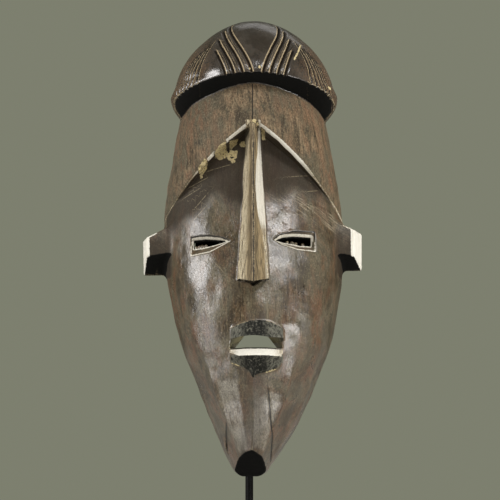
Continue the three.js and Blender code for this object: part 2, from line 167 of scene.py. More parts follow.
def join(a: Array, b: Array, radius: float) -> Array:
    """Two solids as one, with a fillet of about that radius between them."""
    near = np.maximum(radius - np.abs(a - b), 0) / radius
    return np.minimum(a, b) - near * near * radius / 4


def meet(a: Array, b: Array, radius: float) -> Array:
    """What two solids have in common, with its edge rounded."""
    return -join(-a, -b, radius)


def cut(a: Array, b: Array, radius: float) -> Array:
    """Solid a with solid b taken out, with the new edge rounded."""
    return -join(-a, b, radius)


def ease(value: Array, low: float, high: float) -> Array:
    """0 up to low, 1 from high, and smooth between them; high may be the lower one."""
    share = np.clip((value - low) / (high - low), 0, 1)
    return share * share * (3 - 2 * share)


def oval(across: Array, along: Array, powers: tuple[Array | float, float], width: Array | float,
         length: Array | float) -> Array:
    """Rough distance to a rounded outline whose two half axes are width and length.

    Args:
        across: how far out a point is, as a share of width.
        along: how far out it is the other way, as a share of length.
        powers: of across and along; 2 and 2 give an ellipse, more gives squarer shoulders.
        width: half width in millimetres.
        length: half length in millimetres.

    Returns:
        Millimetres, negative inside.
    """
    across, along = np.maximum(across, 1e-6), np.maximum(along, 1e-6)
    a, b = across ** powers[0], along ** powers[1]
    steep = np.hypot(powers[0] * a / across / width, powers[1] * b / along / length)
    return (a + b - 1) / np.maximum(steep, 0.015)


def outline_distance(x: Array, h: Array, corners: Sequence[Pair]) -> Array:
    """Distance in millimetres to a closed outline of corners, negative inside it.

    Args:
        x: sideways places, in millimetres.
        h: heights, in millimetres.
        corners: its corners, in order.

    Returns:
        A distance for each place.
    """
    closest = np.full(x.shape, FAR * FAR)
    inside = np.zeros(x.shape, bool)
    for (ax, ah), (bx, bh) in zip(corners, [*corners[1:], corners[0]]):
        run, rise = bx - ax, bh - ah
        share = np.clip(((x - ax) * run + (h - ah) * rise) / (run * run + rise * rise), 0, 1)
        closest = np.minimum(closest, (x - ax - share * run) ** 2 + (h - ah - share * rise) ** 2)
        if rise:
            inside ^= ((ah > h) != (bh > h)) & (x < ax + (h - ah) * run / rise)
    return np.where(inside, -1, 1) * np.sqrt(closest)


def line_offset(x: Array, h: Array, corners: Sequence[Pair]) -> Array:
    """Distance in millimetres to an open line through corners, negative to the line's left.

    Args:
        x: sideways places, in millimetres.
        h: heights, in millimetres.
        corners: its corners, in order.

    Returns:
        A distance for each place.
    """
    closest = np.full(x.shape, FAR)
    for (ax, ah), (bx, bh) in itertools.pairwise(corners):
        run, rise = bx - ax, bh - ah
        share = np.clip(((x - ax) * run + (h - ah) * rise) / (run * run + rise * rise), 0, 1)
        away = np.hypot(x - ax - share * run, h - ah - share * rise)
        side = np.where((x - ax) * rise - (h - ah) * run < 0, -1, 1)
        closest = nearer(closest, side * away)
    return closest


def nearer(a: Array, b: Array) -> Array:
    """Of two signed distances, the one closer to zero."""
    return np.where(np.abs(b) < np.abs(a), b, a)


def within(p: Points, low: Triple, high: Triple, feature: Callable[[Points], Array],
           elsewhere: float = FAR) -> Array:
    """Works a feature's values out inside a box only.

    Args:
        p: the points.
        low: the box's lowest x, f and h.
        high: the box's highest x, f and h.
        feature: gives the values at points inside the box.
        elsewhere: the value everywhere else.

    Returns:
        A value for each point.
    """
    chosen = (p.x > low[0]) & (p.x < high[0]) & (p.f > low[1]) & (p.f < high[1])
    chosen &= (p.h > low[2]) & (p.h < high[2])
    result = np.full(p.x.shape, elsewhere)
    result[chosen] = feature(p.where(chosen))
    return result


class Noise:
    """Smooth random numbers from -1 to 1 whose patches have a given size in each direction."""

    LOW = np.array([-100.0, -15.0, -15.0])
    HIGH = np.array([100.0, 115.0, 370.0])

    def __init__(self, size: Triple, seed: int) -> None:
        """Draws the random numbers.

        Args:
            size: a patch's extent in x, f and h, in millimetres.
            seed: another seed gives another pattern.
        """
        self.size = np.array(size)
        counts = np.ceil((self.HIGH - self.LOW) / self.size).astype(int) + 2
        self.values = np.random.default_rng(seed).uniform(-1, 1, counts)

    def __call__(self, p: Points) -> Array:
        """The noise at each point.

        Args:
            p: the points.

        Returns:
            A number for each point.
        """
        whole, weight = [], []
        for axis, values in enumerate((p.x, p.f, p.h)):
            top = self.values.shape[axis] - 1.001
            spot = np.clip((values - self.LOW[axis]) / self.size[axis], 0, top)
            corner = spot.astype(np.int32)
            share = spot - corner
            share = share * share * (3 - 2 * share)
            whole.append(corner)
            weight.append((1 - share, share))
        total = np.zeros(p.x.shape)
        for i, j, k in itertools.product((0, 1), repeat=3):
            values = self.values[whole[0] + i, whole[1] + j, whole[2] + k]
            total += weight[0][i] * weight[1][j] * weight[2][k] * values
        return total


# Carved features


@dataclass(frozen=True)
class Face:
    """The long oval of the face: its outline, bent midline and depth at each height."""

    half_width: Curve = Curve(
        (-1, 1.5), (0, 5.6), (2.5, 10.4), (5.5, 13.2), (8, 14.6), (18, 20.9), (37, 30.9), (56.5, 39.7),
        (76, 47.5), (95, 55.3), (115, 60.6), (134, 64.5), (150, 67), (175, 68.5), (205, 67.7), (241, 61.9),
        (272, 56.4), (300, 50),
    )
    midline: Curve = Curve((-1, -2.6), (8, -2.1), (37, 1), (76, 2), (134, 1.2), (205, -0.3), (300, -0.7))
    depth: Curve = Curve(
        (-1, 55), (17, 57), (40, 60), (60, 62), (80, 66), (113, 69), (143, 67.5), (173, 61.5),
        (200, 57), (230, 54.5), (262, 55), (290, 56),
    )
    ridge: Curve = Curve((0, 3.2), (50, 3.2), (75, 1.2), (100, 0.6), (290, 0.6))
    ridge_reach: float = 0.5
    side_power: Curve = Curve((-1, 1.05), (14, 1.05), (40, 1.6), (65, 2.2), (90, 2.5), (310, 2.5))
    front_power: float = 2.5
    top: float = 290.0
    facet_heights: Pair = (20.0, 55.0)
    facet_low: tuple[Pair, ...] = (
        (-0.9, 0), (-0.52, 3.4), (-0.26, 3.4), (-0.02, 1.2), (0.39, 1.6), (0.85, 0),
    )
    facet_high: tuple[Pair, ...] = (
        (-0.95, 0), (-0.73, 5.8), (-0.29, 1.8), (-0.06, 1.0), (0.55, 2.6), (0.92, 0),
    )
    facet_fade: Pair = (64.0, 88.0)

    def side(self, x: Array, h: Array) -> Array:
        """How far out a place is, from -1 at the left outline to 1 at the right one."""
        return (x - self.midline(h)) / self.half_width(h)

    def smooth(self, side: Array, h: Array) -> Array:
        """How far forward the face would reach without the chin's facets."""
        depth, ridge = self.depth(h), self.ridge(h)
        return (depth - ridge) * self.round_share(side, h) + ridge * self.ridge_share(side)

    def round_share(self, side: Array, h: Array) -> Array:
        """The rounded section's depth as a share of its middle's."""
        out = np.clip(np.abs(side), 0, 1)
        return (1 - out ** self.side_power(h)) ** (1 / self.front_power)

    def ridge_share(self, side: Array) -> Array:
        """The middle ridge's height as a share of its crest's."""
        return np.maximum(0, 1 - np.abs(side) / self.ridge_reach)

    def facets(self, side: Array, h: Array) -> Array:
        """How far the chin's flat knife facets stand proud of the rounded section.

        Args:
            side: how far out each place is, from -1 to 1.
            h: heights, in millimetres.

        Returns:
            Millimetres.
        """
        proud = np.zeros(h.shape)
        chosen = (h < self.facet_fade[1]) & (np.abs(side) < 1)
        side, h = side[chosen], h[chosen]
        low, high = self.facet_heights
        part = np.clip((h - low) / (high - low), 0, 1)
        edges = []
        for (low_place, low_raise), (high_place, high_raise) in zip(self.facet_low, self.facet_high):
            place = low_place + (high_place - low_place) * part
            lift = low_raise + (high_raise - low_raise) * part
            edges.append((place, self.smooth(place, h) + lift))
        smooth = self.smooth(side, h)
        flat = smooth
        for (a, depth_a), (b, depth_b) in itertools.pairwise(edges):
            share = (side - a) / (b - a)
            flat = np.where((share >= 0) & (share < 1), depth_a + (depth_b - depth_a) * share, flat)
        proud[chosen] = (flat - smooth) * (1 - ease(h, *self.facet_fade))
        return proud

    def front(self, x: Array, h: Array) -> Array:
        """How far forward the face reaches at each place."""
        side = self.side(x, h)
        return self.smooth(side, h) + self.facets(side, h)

    def shell(self, p: Points, depth: Array, ridge: Array | float) -> Array:
        """Rough distance to a rounded section of that depth and ridge, negative inside.

        Args:
            p: the points.
            depth: how far forward the section reaches, in millimetres.
            ridge: how far its middle ridge stands proud.

        Returns:
            Millimetres.
        """
        side = self.side(p.x, p.h)
        proud = ridge * self.ridge_share(side) + self.facets(side, p.h)
        ahead = np.maximum(p.f - proud, 0) / (depth - ridge)
        powers = (self.side_power(p.h), self.front_power)
        return oval(np.abs(side), ahead, powers, self.half_width(p.h), depth - ridge)

    def distance(self, p: Points) -> Array:
        """The face's field."""
        return meet(self.shell(p, self.depth(p.h), self.ridge(p.h)), p.h - self.top, 1)


@dataclass(frozen=True)
class Forehead:
    """The bulging forehead, whose lower edge is the brow: a pointed arch with a narrow bevel."""

    face: Face
    depth: Curve = Curve((170, 61), (200, 66.5), (230, 71), (261, 74), (278, 71), (292, 67.5), (310, 60))
    ridge: float = 3.6
    apex: float = 260.0
    slope: float = 0.62
    bend: float = 0.0053
    bevel: float = 2.3
    drop: float = 1.2
    drop_run: float = 14.0
    top: float = 305.0
    chip_depth: float = 1.5
    chips: tuple[Outline, ...] = (
        ((-29.5, 237.8), (-28.3, 240.3), (-25.3, 244.2), (-20.6, 246.9), (-20.0, 241.8), (-22.2, 239.3),
         (-26.1, 236.2)),
        ((-18.2, 247.0), (-14.9, 248.8), (-11.4, 250.6), (-12.4, 246.8), (-15.5, 244.3), (-18.0, 241.5)),
        ((-42.0, 228.0), (-36.5, 235.4), (-34.2, 233.3), (-35.3, 228.7), (-39.8, 223.1)),
        ((5.6, 256.5), (8.6, 254.2), (9.0, 249.8), (6.2, 250.2)),
    )
    crumb_height: float = 1.7
    crumb_patches: tuple[Outline, ...] = (
        ((-28.8, 236.6), (-20.6, 240.6), (-16.9, 243.0), (-12.6, 241.6), (-11.6, 236.3), (-15.3, 233.2),
         (-19.8, 235.9)),
        ((-11.5, 247.8), (-6.6, 250.0), (-6.2, 246.0), (-10.5, 244.8)),
        ((-40.6, 225.0), (-38.0, 225.4), (-37.4, 221.8), (-40.4, 222.4)),
    )
    flakes: Noise = Noise((3.0, 4.0, 2.4), 11)
    crumbs: Noise = Noise((1.9, 2.2, 1.9), 12)

    def front(self, p: Points) -> Array:
        """Rough distance to the forehead's front, as if it ran on below the brow."""
        return self.face.shell(p, self.depth(p.h), self.ridge)

    def above_edge(self, p: Points) -> Array:
        """Distance above the brow's lower edge, square to the edge.

        Args:
            p: the points.

        Returns:
            Millimetres, negative below the edge.
        """
        out = np.abs(p.x)
        lean = self.slope + 2 * self.bend * out
        return (p.h - self.apex + self.slope * out + self.bend * out * out) / np.hypot(1, lean)

    @staticmethod
    def inside(p: Points, patches: Sequence[Sequence[Pair]]) -> Array:
        """Distance inside the nearest of several outlines, negative outside them all."""
        return np.maximum.reduce([-outline_distance(p.x, p.h, patch) for patch in patches])

    def chipped(self, p: Points) -> Array:
        """How deep the wood has broken away along the brow."""
        return self.chip_depth * ease(self.inside(p, self.chips), -0.3, 0.7) * (0.8 + 0.6 * self.flakes(p))

    def crumbled(self, p: Points) -> Array:
        """How high loose crumbs stand on the wood just below the broken brow."""
        lumps = np.maximum(self.crumbs(p) + 0.2, 0)
        return self.crumb_height * ease(self.inside(p, self.crumb_patches), -0.8, 1.0) * lumps

    def distance(self, p: Points) -> Array:
        """The forehead's field, with the ledge under the brow.

        Args:
            p: the points.

        Returns:
            Millimetres, negative inside.
        """
        front = self.front(p)
        above = self.above_edge(p)
        bevel = (front + self.bevel - above) / math.sqrt(2)
        inward = np.clip((-self.bevel - front) / self.drop_run, 0, 1)
        form = meet(front, bevel, 0.7)
        form = meet(form, -above - self.drop * inward, 0.9)
        chipped = within(p, (-46, 40, 218), (12, 90, 262), self.chipped, 0)
        return np.maximum(form, p.h - self.top) + chipped


@dataclass(frozen=True)
class Crest:
    """The hair crest: part of an ellipsoid that overhangs the forehead, with strands cut into it."""

    x: float = 0.5
    f: float = 20.0
    h: float = 289.0
    radius: Triple = (64.0, 68.0, 60.8)
    power: float = 1.68
    tuck: float = 1.6
    flare: float = 0.045
    flare_height: float = 0.12
    roll: float = 0.037
    roll_height: float = 17.0
    rim: tuple[float, float, float, float] = (296.5, 12.5, 62.0, 2.4)
    root: tuple[float, float, float, float] = (291.0, 20.5, 56.0, 1.6)
    root_depth: float = 70.0
    root_half: float = 60.0
    root_share: float = 0.9
    # Pairs of feet, tops, ends, leans and heights are in degrees: the first one's, and the step to the next.
    strands: int = 4
    strand_depth: float = 2.0
    strand_slopes: Pair = (0.5, 2.2)
    strand_feet: tuple[Pair, Pair] = ((-1.0, -6.4), (5.5, 5.4))
    strand_tops: Pair = (43.0, 3.5)
    strand_ends: Pair = (63.0, 11.0)
    strand_base: float = 5.0
    strand_bend: float = 1.8
    locks: int = 6
    lock_depth: float = 0.9
    lock_slopes: Pair = (0.5, 1.5)
    lock_feet: Pair = (44.0, 5.0)
    lock_lean: Pair = (3.0, 2.0)
    lock_heights: Pair = (46.0, 3.0)
    lock_base: float = -4.0
    lock_slant: float = 0.2
    wobble: Noise = Noise((9.0, 9.0, 9.0), 21)
    nicks: Noise = Noise((2.6, 2.6, 2.2), 22)

    @staticmethod
    def fall(shape: tuple[float, float, float, float], x: Array) -> Array:
        """Height of the rim or the root at x: a middle height less a fall to either side."""
        middle, drop, reach, power = shape
        return middle - drop * (np.abs(x) / reach) ** power

    def spread(self, p: Points) -> tuple[Array, Array]:
        """A point's distance out from the crest's upright axis and its height, as shares.

        Args:
            p: the points.

        Returns:
            Both as shares of the crest's radii.
        """
        height = np.clip((p.h - self.h) / self.radius[2], -0.9, 1.5)
        out = np.hypot((p.x - self.x) / self.radius[0], (p.f - self.f) / self.radius[1])
        lift = np.clip(height, 0, 1)
        side = np.clip(np.abs(p.x - self.x) / self.radius[0], 0, 1)
        waist = self.flare * side**2 * np.minimum(1, lift / self.flare_height) * (1 - lift)
        tuck = self.tuck * np.minimum(height, 0) ** 2
        above = np.clip((p.h - self.fall(self.rim, p.x)) / self.roll_height, 0, 1)
        roll = self.roll * (1 - side**2) * (1 - above) ** 2
        return out / (1 - waist - tuck - roll), height

    def turned(self, p: Points) -> tuple[Array, Array]:
        """A point's azimuth and elevation on the crest, in degrees.

        Args:
            p: the points.

        Returns:
            The azimuth, 0 at the front and positive to the right, and the elevation.
        """
        azimuth = np.degrees(np.arctan2((p.x - self.x) / self.radius[0], (p.f - self.f) / self.radius[1]))
        height = np.clip((p.h - self.h) / self.radius[2], 0, 1)
        return azimuth, np.degrees(np.arcsin(height ** (self.power / 2)))

    def underside(self, p: Points) -> Array:
        """Height of the surface under the crest, which sinks from the rim in to the forehead.

        Args:
            p: the points.

        Returns:
            Heights in millimetres.
        """
        side = np.clip(np.abs(p.x - self.x) / self.radius[0], 0, 1)
        rim = self.f + self.radius[1] * np.sqrt(1 - side * side)
        root = self.root_share * self.root_depth * np.sqrt(np.maximum(0, 1 - (p.x / self.root_half) ** 2))
        near = np.clip((p.f - root) / np.maximum(rim - root, 1), 0, 1)
        inner, outer = self.fall(self.root, p.x), self.fall(self.rim, p.x)
        return inner + (outer - inner) * near

    def across(self, azimuth: Array, line: Array, slant: Array, out: Array) -> Array:
        """Distance in millimetres from a strand's line, square to it; azimuths are in degrees."""
        return np.radians(azimuth - line) * out / np.hypot(1, slant)

    def strand_lines(self, p: Points) -> list[tuple[Array, Array]]:
        """Each strand's signed distance, positive away from the middle, and where it is cut.

        Args:
            p: the points.

        Returns:
            For each strand, millimetres and a share from 0 to 1.
        """
        azimuth, elevation = self.turned(p)
        out = np.hypot(p.x - self.x, p.f - self.f)
        lines = []
        for side, i in itertools.product(Side, range(self.strands)):
            foot, step = self.strand_feet[side is Side.RIGHT]
            low = foot + step * i
            top = side.value * (self.strand_tops[0] - self.strand_tops[1] * i)
            high = self.strand_ends[0] - self.strand_ends[1] * i
            rise, bend = high - self.strand_base, self.strand_bend
            s = np.clip((elevation - self.strand_base) / rise, 0, 1.2)
            line = low + (top - low) * s**bend
            slant = np.radians((top - low) * bend * s ** (bend - 1)) * out / (np.radians(rise) * 60)
            shown = 1 - ease(elevation, high - 3, high + 3)
            lines.append((side.value * self.across(azimuth, line, slant, out), shown))
        return lines

    def lock_lines(self, p: Points) -> list[tuple[Array, Array]]:
        """The fine side locks, as strand_lines gives the strands.

        Args:
            p: the points.

        Returns:
            For each lock, millimetres and a share from 0 to 1.
        """
        azimuth, elevation = self.turned(p)
        out = np.hypot(p.x - self.x, p.f - self.f)
        lines = []
        for side, i in itertools.product(Side, range(self.locks)):
            s = (elevation - self.lock_base) / (self.lock_heights[0] - self.lock_heights[1] * i)
            lean = self.lock_lean[0] + self.lock_lean[1] * i
            line = side.value * (self.lock_feet[0] + self.lock_feet[1] * i - lean * s)
            slant = np.full(p.x.shape, self.lock_slant)
            shown = 1 - ease(s, 0.85, 1.05)
            lines.append((side.value * self.across(azimuth, line, slant, out), shown))
        return lines

    def nearest(self, p: Points, lines: list[tuple[Array, Array]]) -> tuple[Array, Array]:
        """Signed distance to the nearest of the lines, and where it is cut.

        Args:
            p: the points.
            lines: what strand_lines or lock_lines gives.

        Returns:
            Millimetres, and a share from 0 to 1.
        """
        closest, cut_there = np.full(p.x.shape, FAR), np.zeros(p.x.shape)
        for distance, shown in lines:
            better = np.abs(distance) + 3 * (1 - shown) < np.abs(closest) + 3 * (1 - cut_there)
            closest = np.where(better, distance, closest)
            cut_there = np.where(better, shown, cut_there)
        on_crest = (p.h > 262) & (self.underside(p) < p.h - 0.4)
        return closest, cut_there * on_crest

    @staticmethod
    def groove(distance: Array, steep: float, shallow: float) -> Array:
        """A groove's depth as a share: steep towards the middle of the crest, shallow away from it."""
        return np.maximum(0, 1 - np.maximum(distance / shallow, -distance / steep))

    def carving(self, p: Points) -> Array:
        """How deep the strands and locks are cut.

        Args:
            p: the points.

        Returns:
            Millimetres.
        """
        depth = np.zeros(p.x.shape)
        for distance, shown in self.strand_lines(p):
            depth = np.maximum(depth, self.strand_depth * shown * self.groove(distance, *self.strand_slopes))
        for distance, shown in self.lock_lines(p):
            depth = np.maximum(depth, self.lock_depth * shown * self.groove(distance, *self.lock_slopes))
        return depth

    def dome(self, p: Points) -> Array:
        """Rough distance to the crest's outside, before anything is cut into it.

        Args:
            p: the points.

        Returns:
            Millimetres, negative inside.
        """
        out, height = self.spread(p)
        upper = oval(out, height, (self.power, self.power), self.radius[0], self.radius[2])
        return np.where(height > 0, upper, (out - 1) * self.radius[0])

    def distance(self, p: Points) -> Array:
        """The crest's field."""
        return within(p, (-75, -6, 255), (75, 100, 360), self.near_distance)

    def near_distance(self, p: Points) -> Array:
        """The crest's field at points near it."""
        under = self.underside(p) - p.h + 0.5 * np.maximum(self.nicks(p) - 0.45, 0)
        return meet(self.dome(p) + self.carving(p) + 0.3 * self.wobble(p), under, 1.8)


@dataclass(frozen=True)
class Nose:
    """The long straight nose: two facets that meet in a ridge, widest and deepest at its foot."""

    face: Face
    x: float = -0.3
    top: float = 261.5
    bottom: float = 143.0
    tip_drop: float = 5.0
    half: Pair = (11.7, 4.9)
    ridge_depth: Pair = (95.5, 77.0)
    ridge_half: float = 0.7
    notch_mouth: Triple = (78.0, 9.5, 136.2)
    notch_root: Triple = (63.0, 5.5, 139.0)
    frayed: Noise = Noise((1.6, 3.0, 2.4), 31)
    chipped: Noise = Noise((2.2, 2.2, 2.2), 32)

    def shares(self, p: Points) -> tuple[Array, Array, Array, Array]:
        """At each point: the share of the way up the nose, its half width, base depth and ridge depth.

        Args:
            p: the points.

        Returns:
            Those four, in that order.
        """
        base = self.face.front(self.x + 8 + 0 * p.h, p.h)
        height = self.top - self.bottom
        up = np.clip((p.h - self.bottom) / height, 0, 1)
        ridge = self.ridge_depth[0] + (self.ridge_depth[1] - self.ridge_depth[0]) * up
        ahead = np.clip((p.f - base) / (ridge - base), 0, 1)
        up = np.clip(up + self.tip_drop * (1 - up) * ahead / height, 0, 1)
        half = self.half[0] + (self.half[1] - self.half[0]) * up
        return up, half, base, ridge

    def across(self, p: Points) -> Array:
        """How far out on the nose a point is, from -1 at its left edge to 1 at its right edge."""
        return (p.x - self.x) / self.shares(p)[1]

    def ahead(self, p: Points) -> Array:
        """How far forward of the face a point is, from 0 at the face to 1 at the nose's ridge."""
        _, _, base, ridge = self.shares(p)
        return np.clip((p.f - base) / (ridge - base), 0, 1)

    def near_distance(self, p: Points) -> Array:
        """The nose's field at points near it.

        Args:
            p: the points.

        Returns:
            Millimetres, negative inside.
        """
        _, half, base, ridge = self.shares(p)
        out = np.abs(p.x - self.x)
        run, rise = half - self.ridge_half, ridge - base
        facet = ((out - self.ridge_half) * rise + (p.f - ridge) * run) / np.hypot(run, rise)
        form = meet(facet, p.f - ridge, 0.5)
        foot = self.bottom - self.tip_drop * self.ahead(p) - p.h
        form = meet(form, foot + 0.7 * self.frayed(p), 0.9)
        crumbled = 1.6 * np.maximum(self.chipped(p) - 0.2, 0) * ease(p.h, self.top - 9, self.top - 3)
        return meet(form, p.h - self.top, 1.2) + crumbled

    def distance(self, p: Points) -> Array:
        """The nose's field."""
        return within(p, (-18, 40, 130), (18, 102, 270), self.near_distance)

    def near_notch(self, p: Points) -> Array:
        """The field of the small V cut under the nose, at points near it.

        Args:
            p: the points.

        Returns:
            Millimetres, negative inside.
        """
        share = np.clip((self.notch_mouth[0] - p.f) / (self.notch_mouth[0] - self.notch_root[0]), 0, 1)
        half = self.notch_mouth[1] + (self.notch_root[1] - self.notch_mouth[1]) * share
        low = self.notch_mouth[2] + (self.notch_root[2] - self.notch_mouth[2]) * share
        floor = (low - p.h) + (self.bottom - low) * np.abs(p.x - self.x) / half
        roof = p.h - self.bottom + self.tip_drop * self.ahead(p) - 0.3
        return np.maximum(np.maximum(floor * 0.85, self.notch_root[0] - p.f), roof)

    def notch(self, p: Points) -> Array:
        """The field of the small V cut under the nose."""
        return within(p, (-14, 58, 130), (14, 100, 150), self.near_notch)


@dataclass(frozen=True)
class Lip:
    """A lip: a wedge that stands out towards the mouth, flat over its middle and bevelled at each end."""

    face: Face
    middle: float
    outer: Curve
    ends: Pair
    edge: float
    project: float = 12.0
    flat: float = 0.42
    end_loss: float = 0.7
    bevel_run: float = 0.0
    bevel_rise: float = 1.0

    def along(self, x: Array) -> Array:
        """How far along the lip a place is, from 0 at its middle to 1 at either end."""
        out = x - self.middle
        return np.where(out < 0, -out / (self.middle - self.ends[0]), out / (self.ends[1] - self.middle))

    def front(self, x: Array) -> Array:
        """How far forward the lip's edge reaches."""
        loss = self.end_loss * np.clip((self.along(x) - self.flat) / (1 - self.flat), 0, 1)
        return self.face.front(x, self.edge + 0 * x) + self.project * (1 - loss)

    def slab(self, p: Points) -> Array:
        """Distance to the lip's sloping outer face.

        Args:
            p: the points.

        Returns:
            Millimetres, negative behind it.
        """
        outer = self.outer(p.x)
        skin = self.face.front(p.x, outer) + 0.4
        lean = (self.front(p.x) - skin) / (self.edge - outer)
        return (p.f - skin - lean * (p.h - outer)) / np.hypot(1, lean)

    def bevel(self, p: Points) -> Array:
        """Distance to the face that runs back from the lip's edge to the mouth."""
        run, rise = self.bevel_run, self.bevel_rise
        return ((p.f - self.front(p.x)) * rise + (p.h - self.edge) * run) / math.hypot(run, rise)

    def near_distance(self, p: Points) -> Array:
        """The lip's field at points near it.

        Args:
            p: the points.

        Returns:
            Millimetres, negative inside.
        """
        half = (self.ends[1] - self.ends[0]) / 2
        form = meet(self.slab(p), (self.along(p.x) - 1) * half, 0.8)
        if self.bevel_run:
            return meet(form, self.bevel(p), 0.7)
        return meet(form, self.edge - 1.2 - p.h, 0.7)

    def distance(self, p: Points) -> Array:
        """The lip's field."""
        return within(p, (-24, 40, self.edge - 18), (30, 100, self.edge + 16), self.near_distance)


@dataclass(frozen=True)
class Mouth:
    """The slot between the lips, open right through, with the two lips around it."""

    face: Face
    middle: float = 1.9
    low: float = 92.6
    high: float = 99.6
    roof: Curve = Curve(
        (-19, 95), (-16.5, 97.2), (-11.4, 99), (-5.6, 100.3), (0.7, 100.7), (6.8, 100.1), (14.1, 99),
        (24, 98.4),
    )
    roof_front: float = 80.0
    roof_lean: float = 0.13
    left: float = -18.9
    right: float = 22.4
    end_front: float = 69.0
    end_lean: float = 0.3
    top_lean: float = 0.05
    end_run: float = 16.0
    upper: Lip = field(init=False)
    lower: Lip = field(init=False)
    depth_span: Pair = (20.0, 110.0)
    paint_margin: float = 1.0

    def __post_init__(self) -> None:
        """Makes the two lips."""
        arch = Curve(
            (-17, 107.4), (-7.3, 111.2), (-0.5, 112.7), (5.8, 113), (13.8, 111.2), (19.3, 108.2),
            (22.5, 106.2),
        )
        bowl = Curve(
            (-17.4, 83), (-16.3, 81.8), (-10.8, 79.7), (-6, 77.5), (-2.4, 74.4), (-0.5, 70.8), (1.2, 72.6),
            (4.5, 73.8), (11.4, 75.6), (16.9, 77.6), (20.6, 81.6),
        )
        upper = Lip(self.face, self.middle, arch, (-16.6, 22.4), self.high - 0.4)
        lower = Lip(self.face, self.middle, bowl, (-17.4, 20.6), 86.6, bevel_run=7, bevel_rise=6)
        object.__setattr__(self, "upper", upper)
        object.__setattr__(self, "lower", lower)

    def near_slot(self, p: Points) -> Array:
        """The slot's field at points near it.

        Args:
            p: the points.

        Returns:
            Millimetres, negative inside.
        """
        behind = self.roof_front - p.f
        inward = np.clip(self.end_front - p.f, 0, self.end_run)
        top = p.h - self.roof(p.x) - self.roof_lean * behind
        lean = self.end_lean + self.top_lean * np.maximum(p.h - self.low - 1, 0)
        ends = np.maximum(self.left - p.x, p.x - self.right) + lean * inward
        form = np.maximum(np.maximum(self.low - p.h, top), ends)
        return np.maximum(form, np.maximum(self.depth_span[0] - p.f, p.f - self.depth_span[1]))

    def slot(self, p: Points) -> Array:
        """The slot's field."""
        return within(p, (-24, 10, 86), (28, 104, 112), self.near_slot)

    def lips(self, p: Points) -> Array:
        """Both lips' field."""
        return np.minimum(self.upper.distance(p), self.lower.distance(p))

    def painted(self, p: Points) -> Array:
        """Distance inside the white band on the lower lip's bevel.

        Args:
            p: the points.

        Returns:
            Millimetres.
        """
        taper = 2.8 * ease(-p.x, 10, 18) - 0.4
        band = np.minimum(p.h - self.lower.edge - taper, self.low - self.paint_margin - p.h)
        ends = np.minimum(p.x - self.lower.ends[0] + 0.4, self.lower.ends[1] + 1.0 - p.x)
        return np.minimum(np.minimum(band, ends), 0.9 + self.lower.bevel(p))

    def stained(self, p: Points) -> Array:
        """Distance inside the blackened skin of the two lips.

        Args:
            p: the points.

        Returns:
            Millimetres.
        """
        upper = np.minimum(self.upper.outer(p.x) - p.h, p.h - self.roof(p.x) + 1.5)
        lower = np.minimum(p.h - self.lower.outer(p.x), self.lower.edge + 1 - p.h)
        ends = np.minimum(p.x + 16.8, 21.8 - p.x)
        return np.minimum(np.maximum(upper, lower), ends)


@dataclass(frozen=True)
class Eye:
    """A slanting eye slit: uneven bevels from an outer outline in to an opening into the hollow."""

    face: Face
    outer: Outline
    inner: Outline
    axis: tuple[Pair, Pair]
    bevel_depth: float = 4.2
    back: float = 15.0

    def outline(self, p: Points) -> Array:
        """Distance to the eye's outer edge, negative inside it."""
        return outline_distance(p.x, p.h, self.outer)

    def opening(self, p: Points) -> Array:
        """Distance to the opening's edge, negative inside it."""
        return outline_distance(p.x, p.h, self.inner)

    def sunk(self, p: Points) -> Array:
        """How deep below the face a point lies."""
        return self.face.front(p.x, p.h) - p.f

    def above(self, p: Points) -> Array:
        """Height above the eye's long axis."""
        (x1, h1), (x2, h2) = self.axis
        return p.h - h1 - (h2 - h1) * (p.x - x1) / (x2 - x1)

    def near_distance(self, p: Points) -> Array:
        """The cavity's field at points near it.

        Args:
            p: the points.

        Returns:
            Millimetres, negative inside.
        """
        share = np.minimum(self.sunk(p) / self.bevel_depth, 1)
        outer = self.outline(p)
        return np.maximum((outer + (self.opening(p) - outer) * share) * 0.85, self.back - p.f)

    def box(self) -> tuple[Triple, Triple]:
        """Two corners of a box around the eye."""
        xs, hs = zip(*self.outer)
        return (min(xs) - 6, 8, min(hs) - 6), (max(xs) + 6, 72, max(hs) + 6)

    def distance(self, p: Points) -> Array:
        """The cavity's field."""
        return within(p, *self.box(), self.near_distance)

    def crumb(self, p: Points, x: float, h: float, radius: float) -> Array:
        """The field of a small lump stuck in the opening."""
        depth = self.face.front(np.array([x]), np.array([h])) - self.bevel_depth - 0.6
        return np.sqrt((p.x - x) ** 2 + (p.f - depth) ** 2 + (p.h - h) ** 2) - radius

    def painted(self, p: Points) -> Array:
        """Distance inside the pale bevels: all of the upper one, and two lines on the lower one.

        Args:
            p: the points.

        Returns:
            Millimetres.
        """
        outer, opening, above = self.outline(p), self.opening(p), self.above(p)
        lower = np.maximum(0.5 - np.abs(outer + 0.45), 0.55 - np.abs(opening - 0.5))
        upper = np.minimum(-0.75 - outer, 2.0 - opening)
        band = np.where(above > 0, upper, lower)
        return np.minimum(band, self.bevel_depth + 0.6 - self.sunk(p))


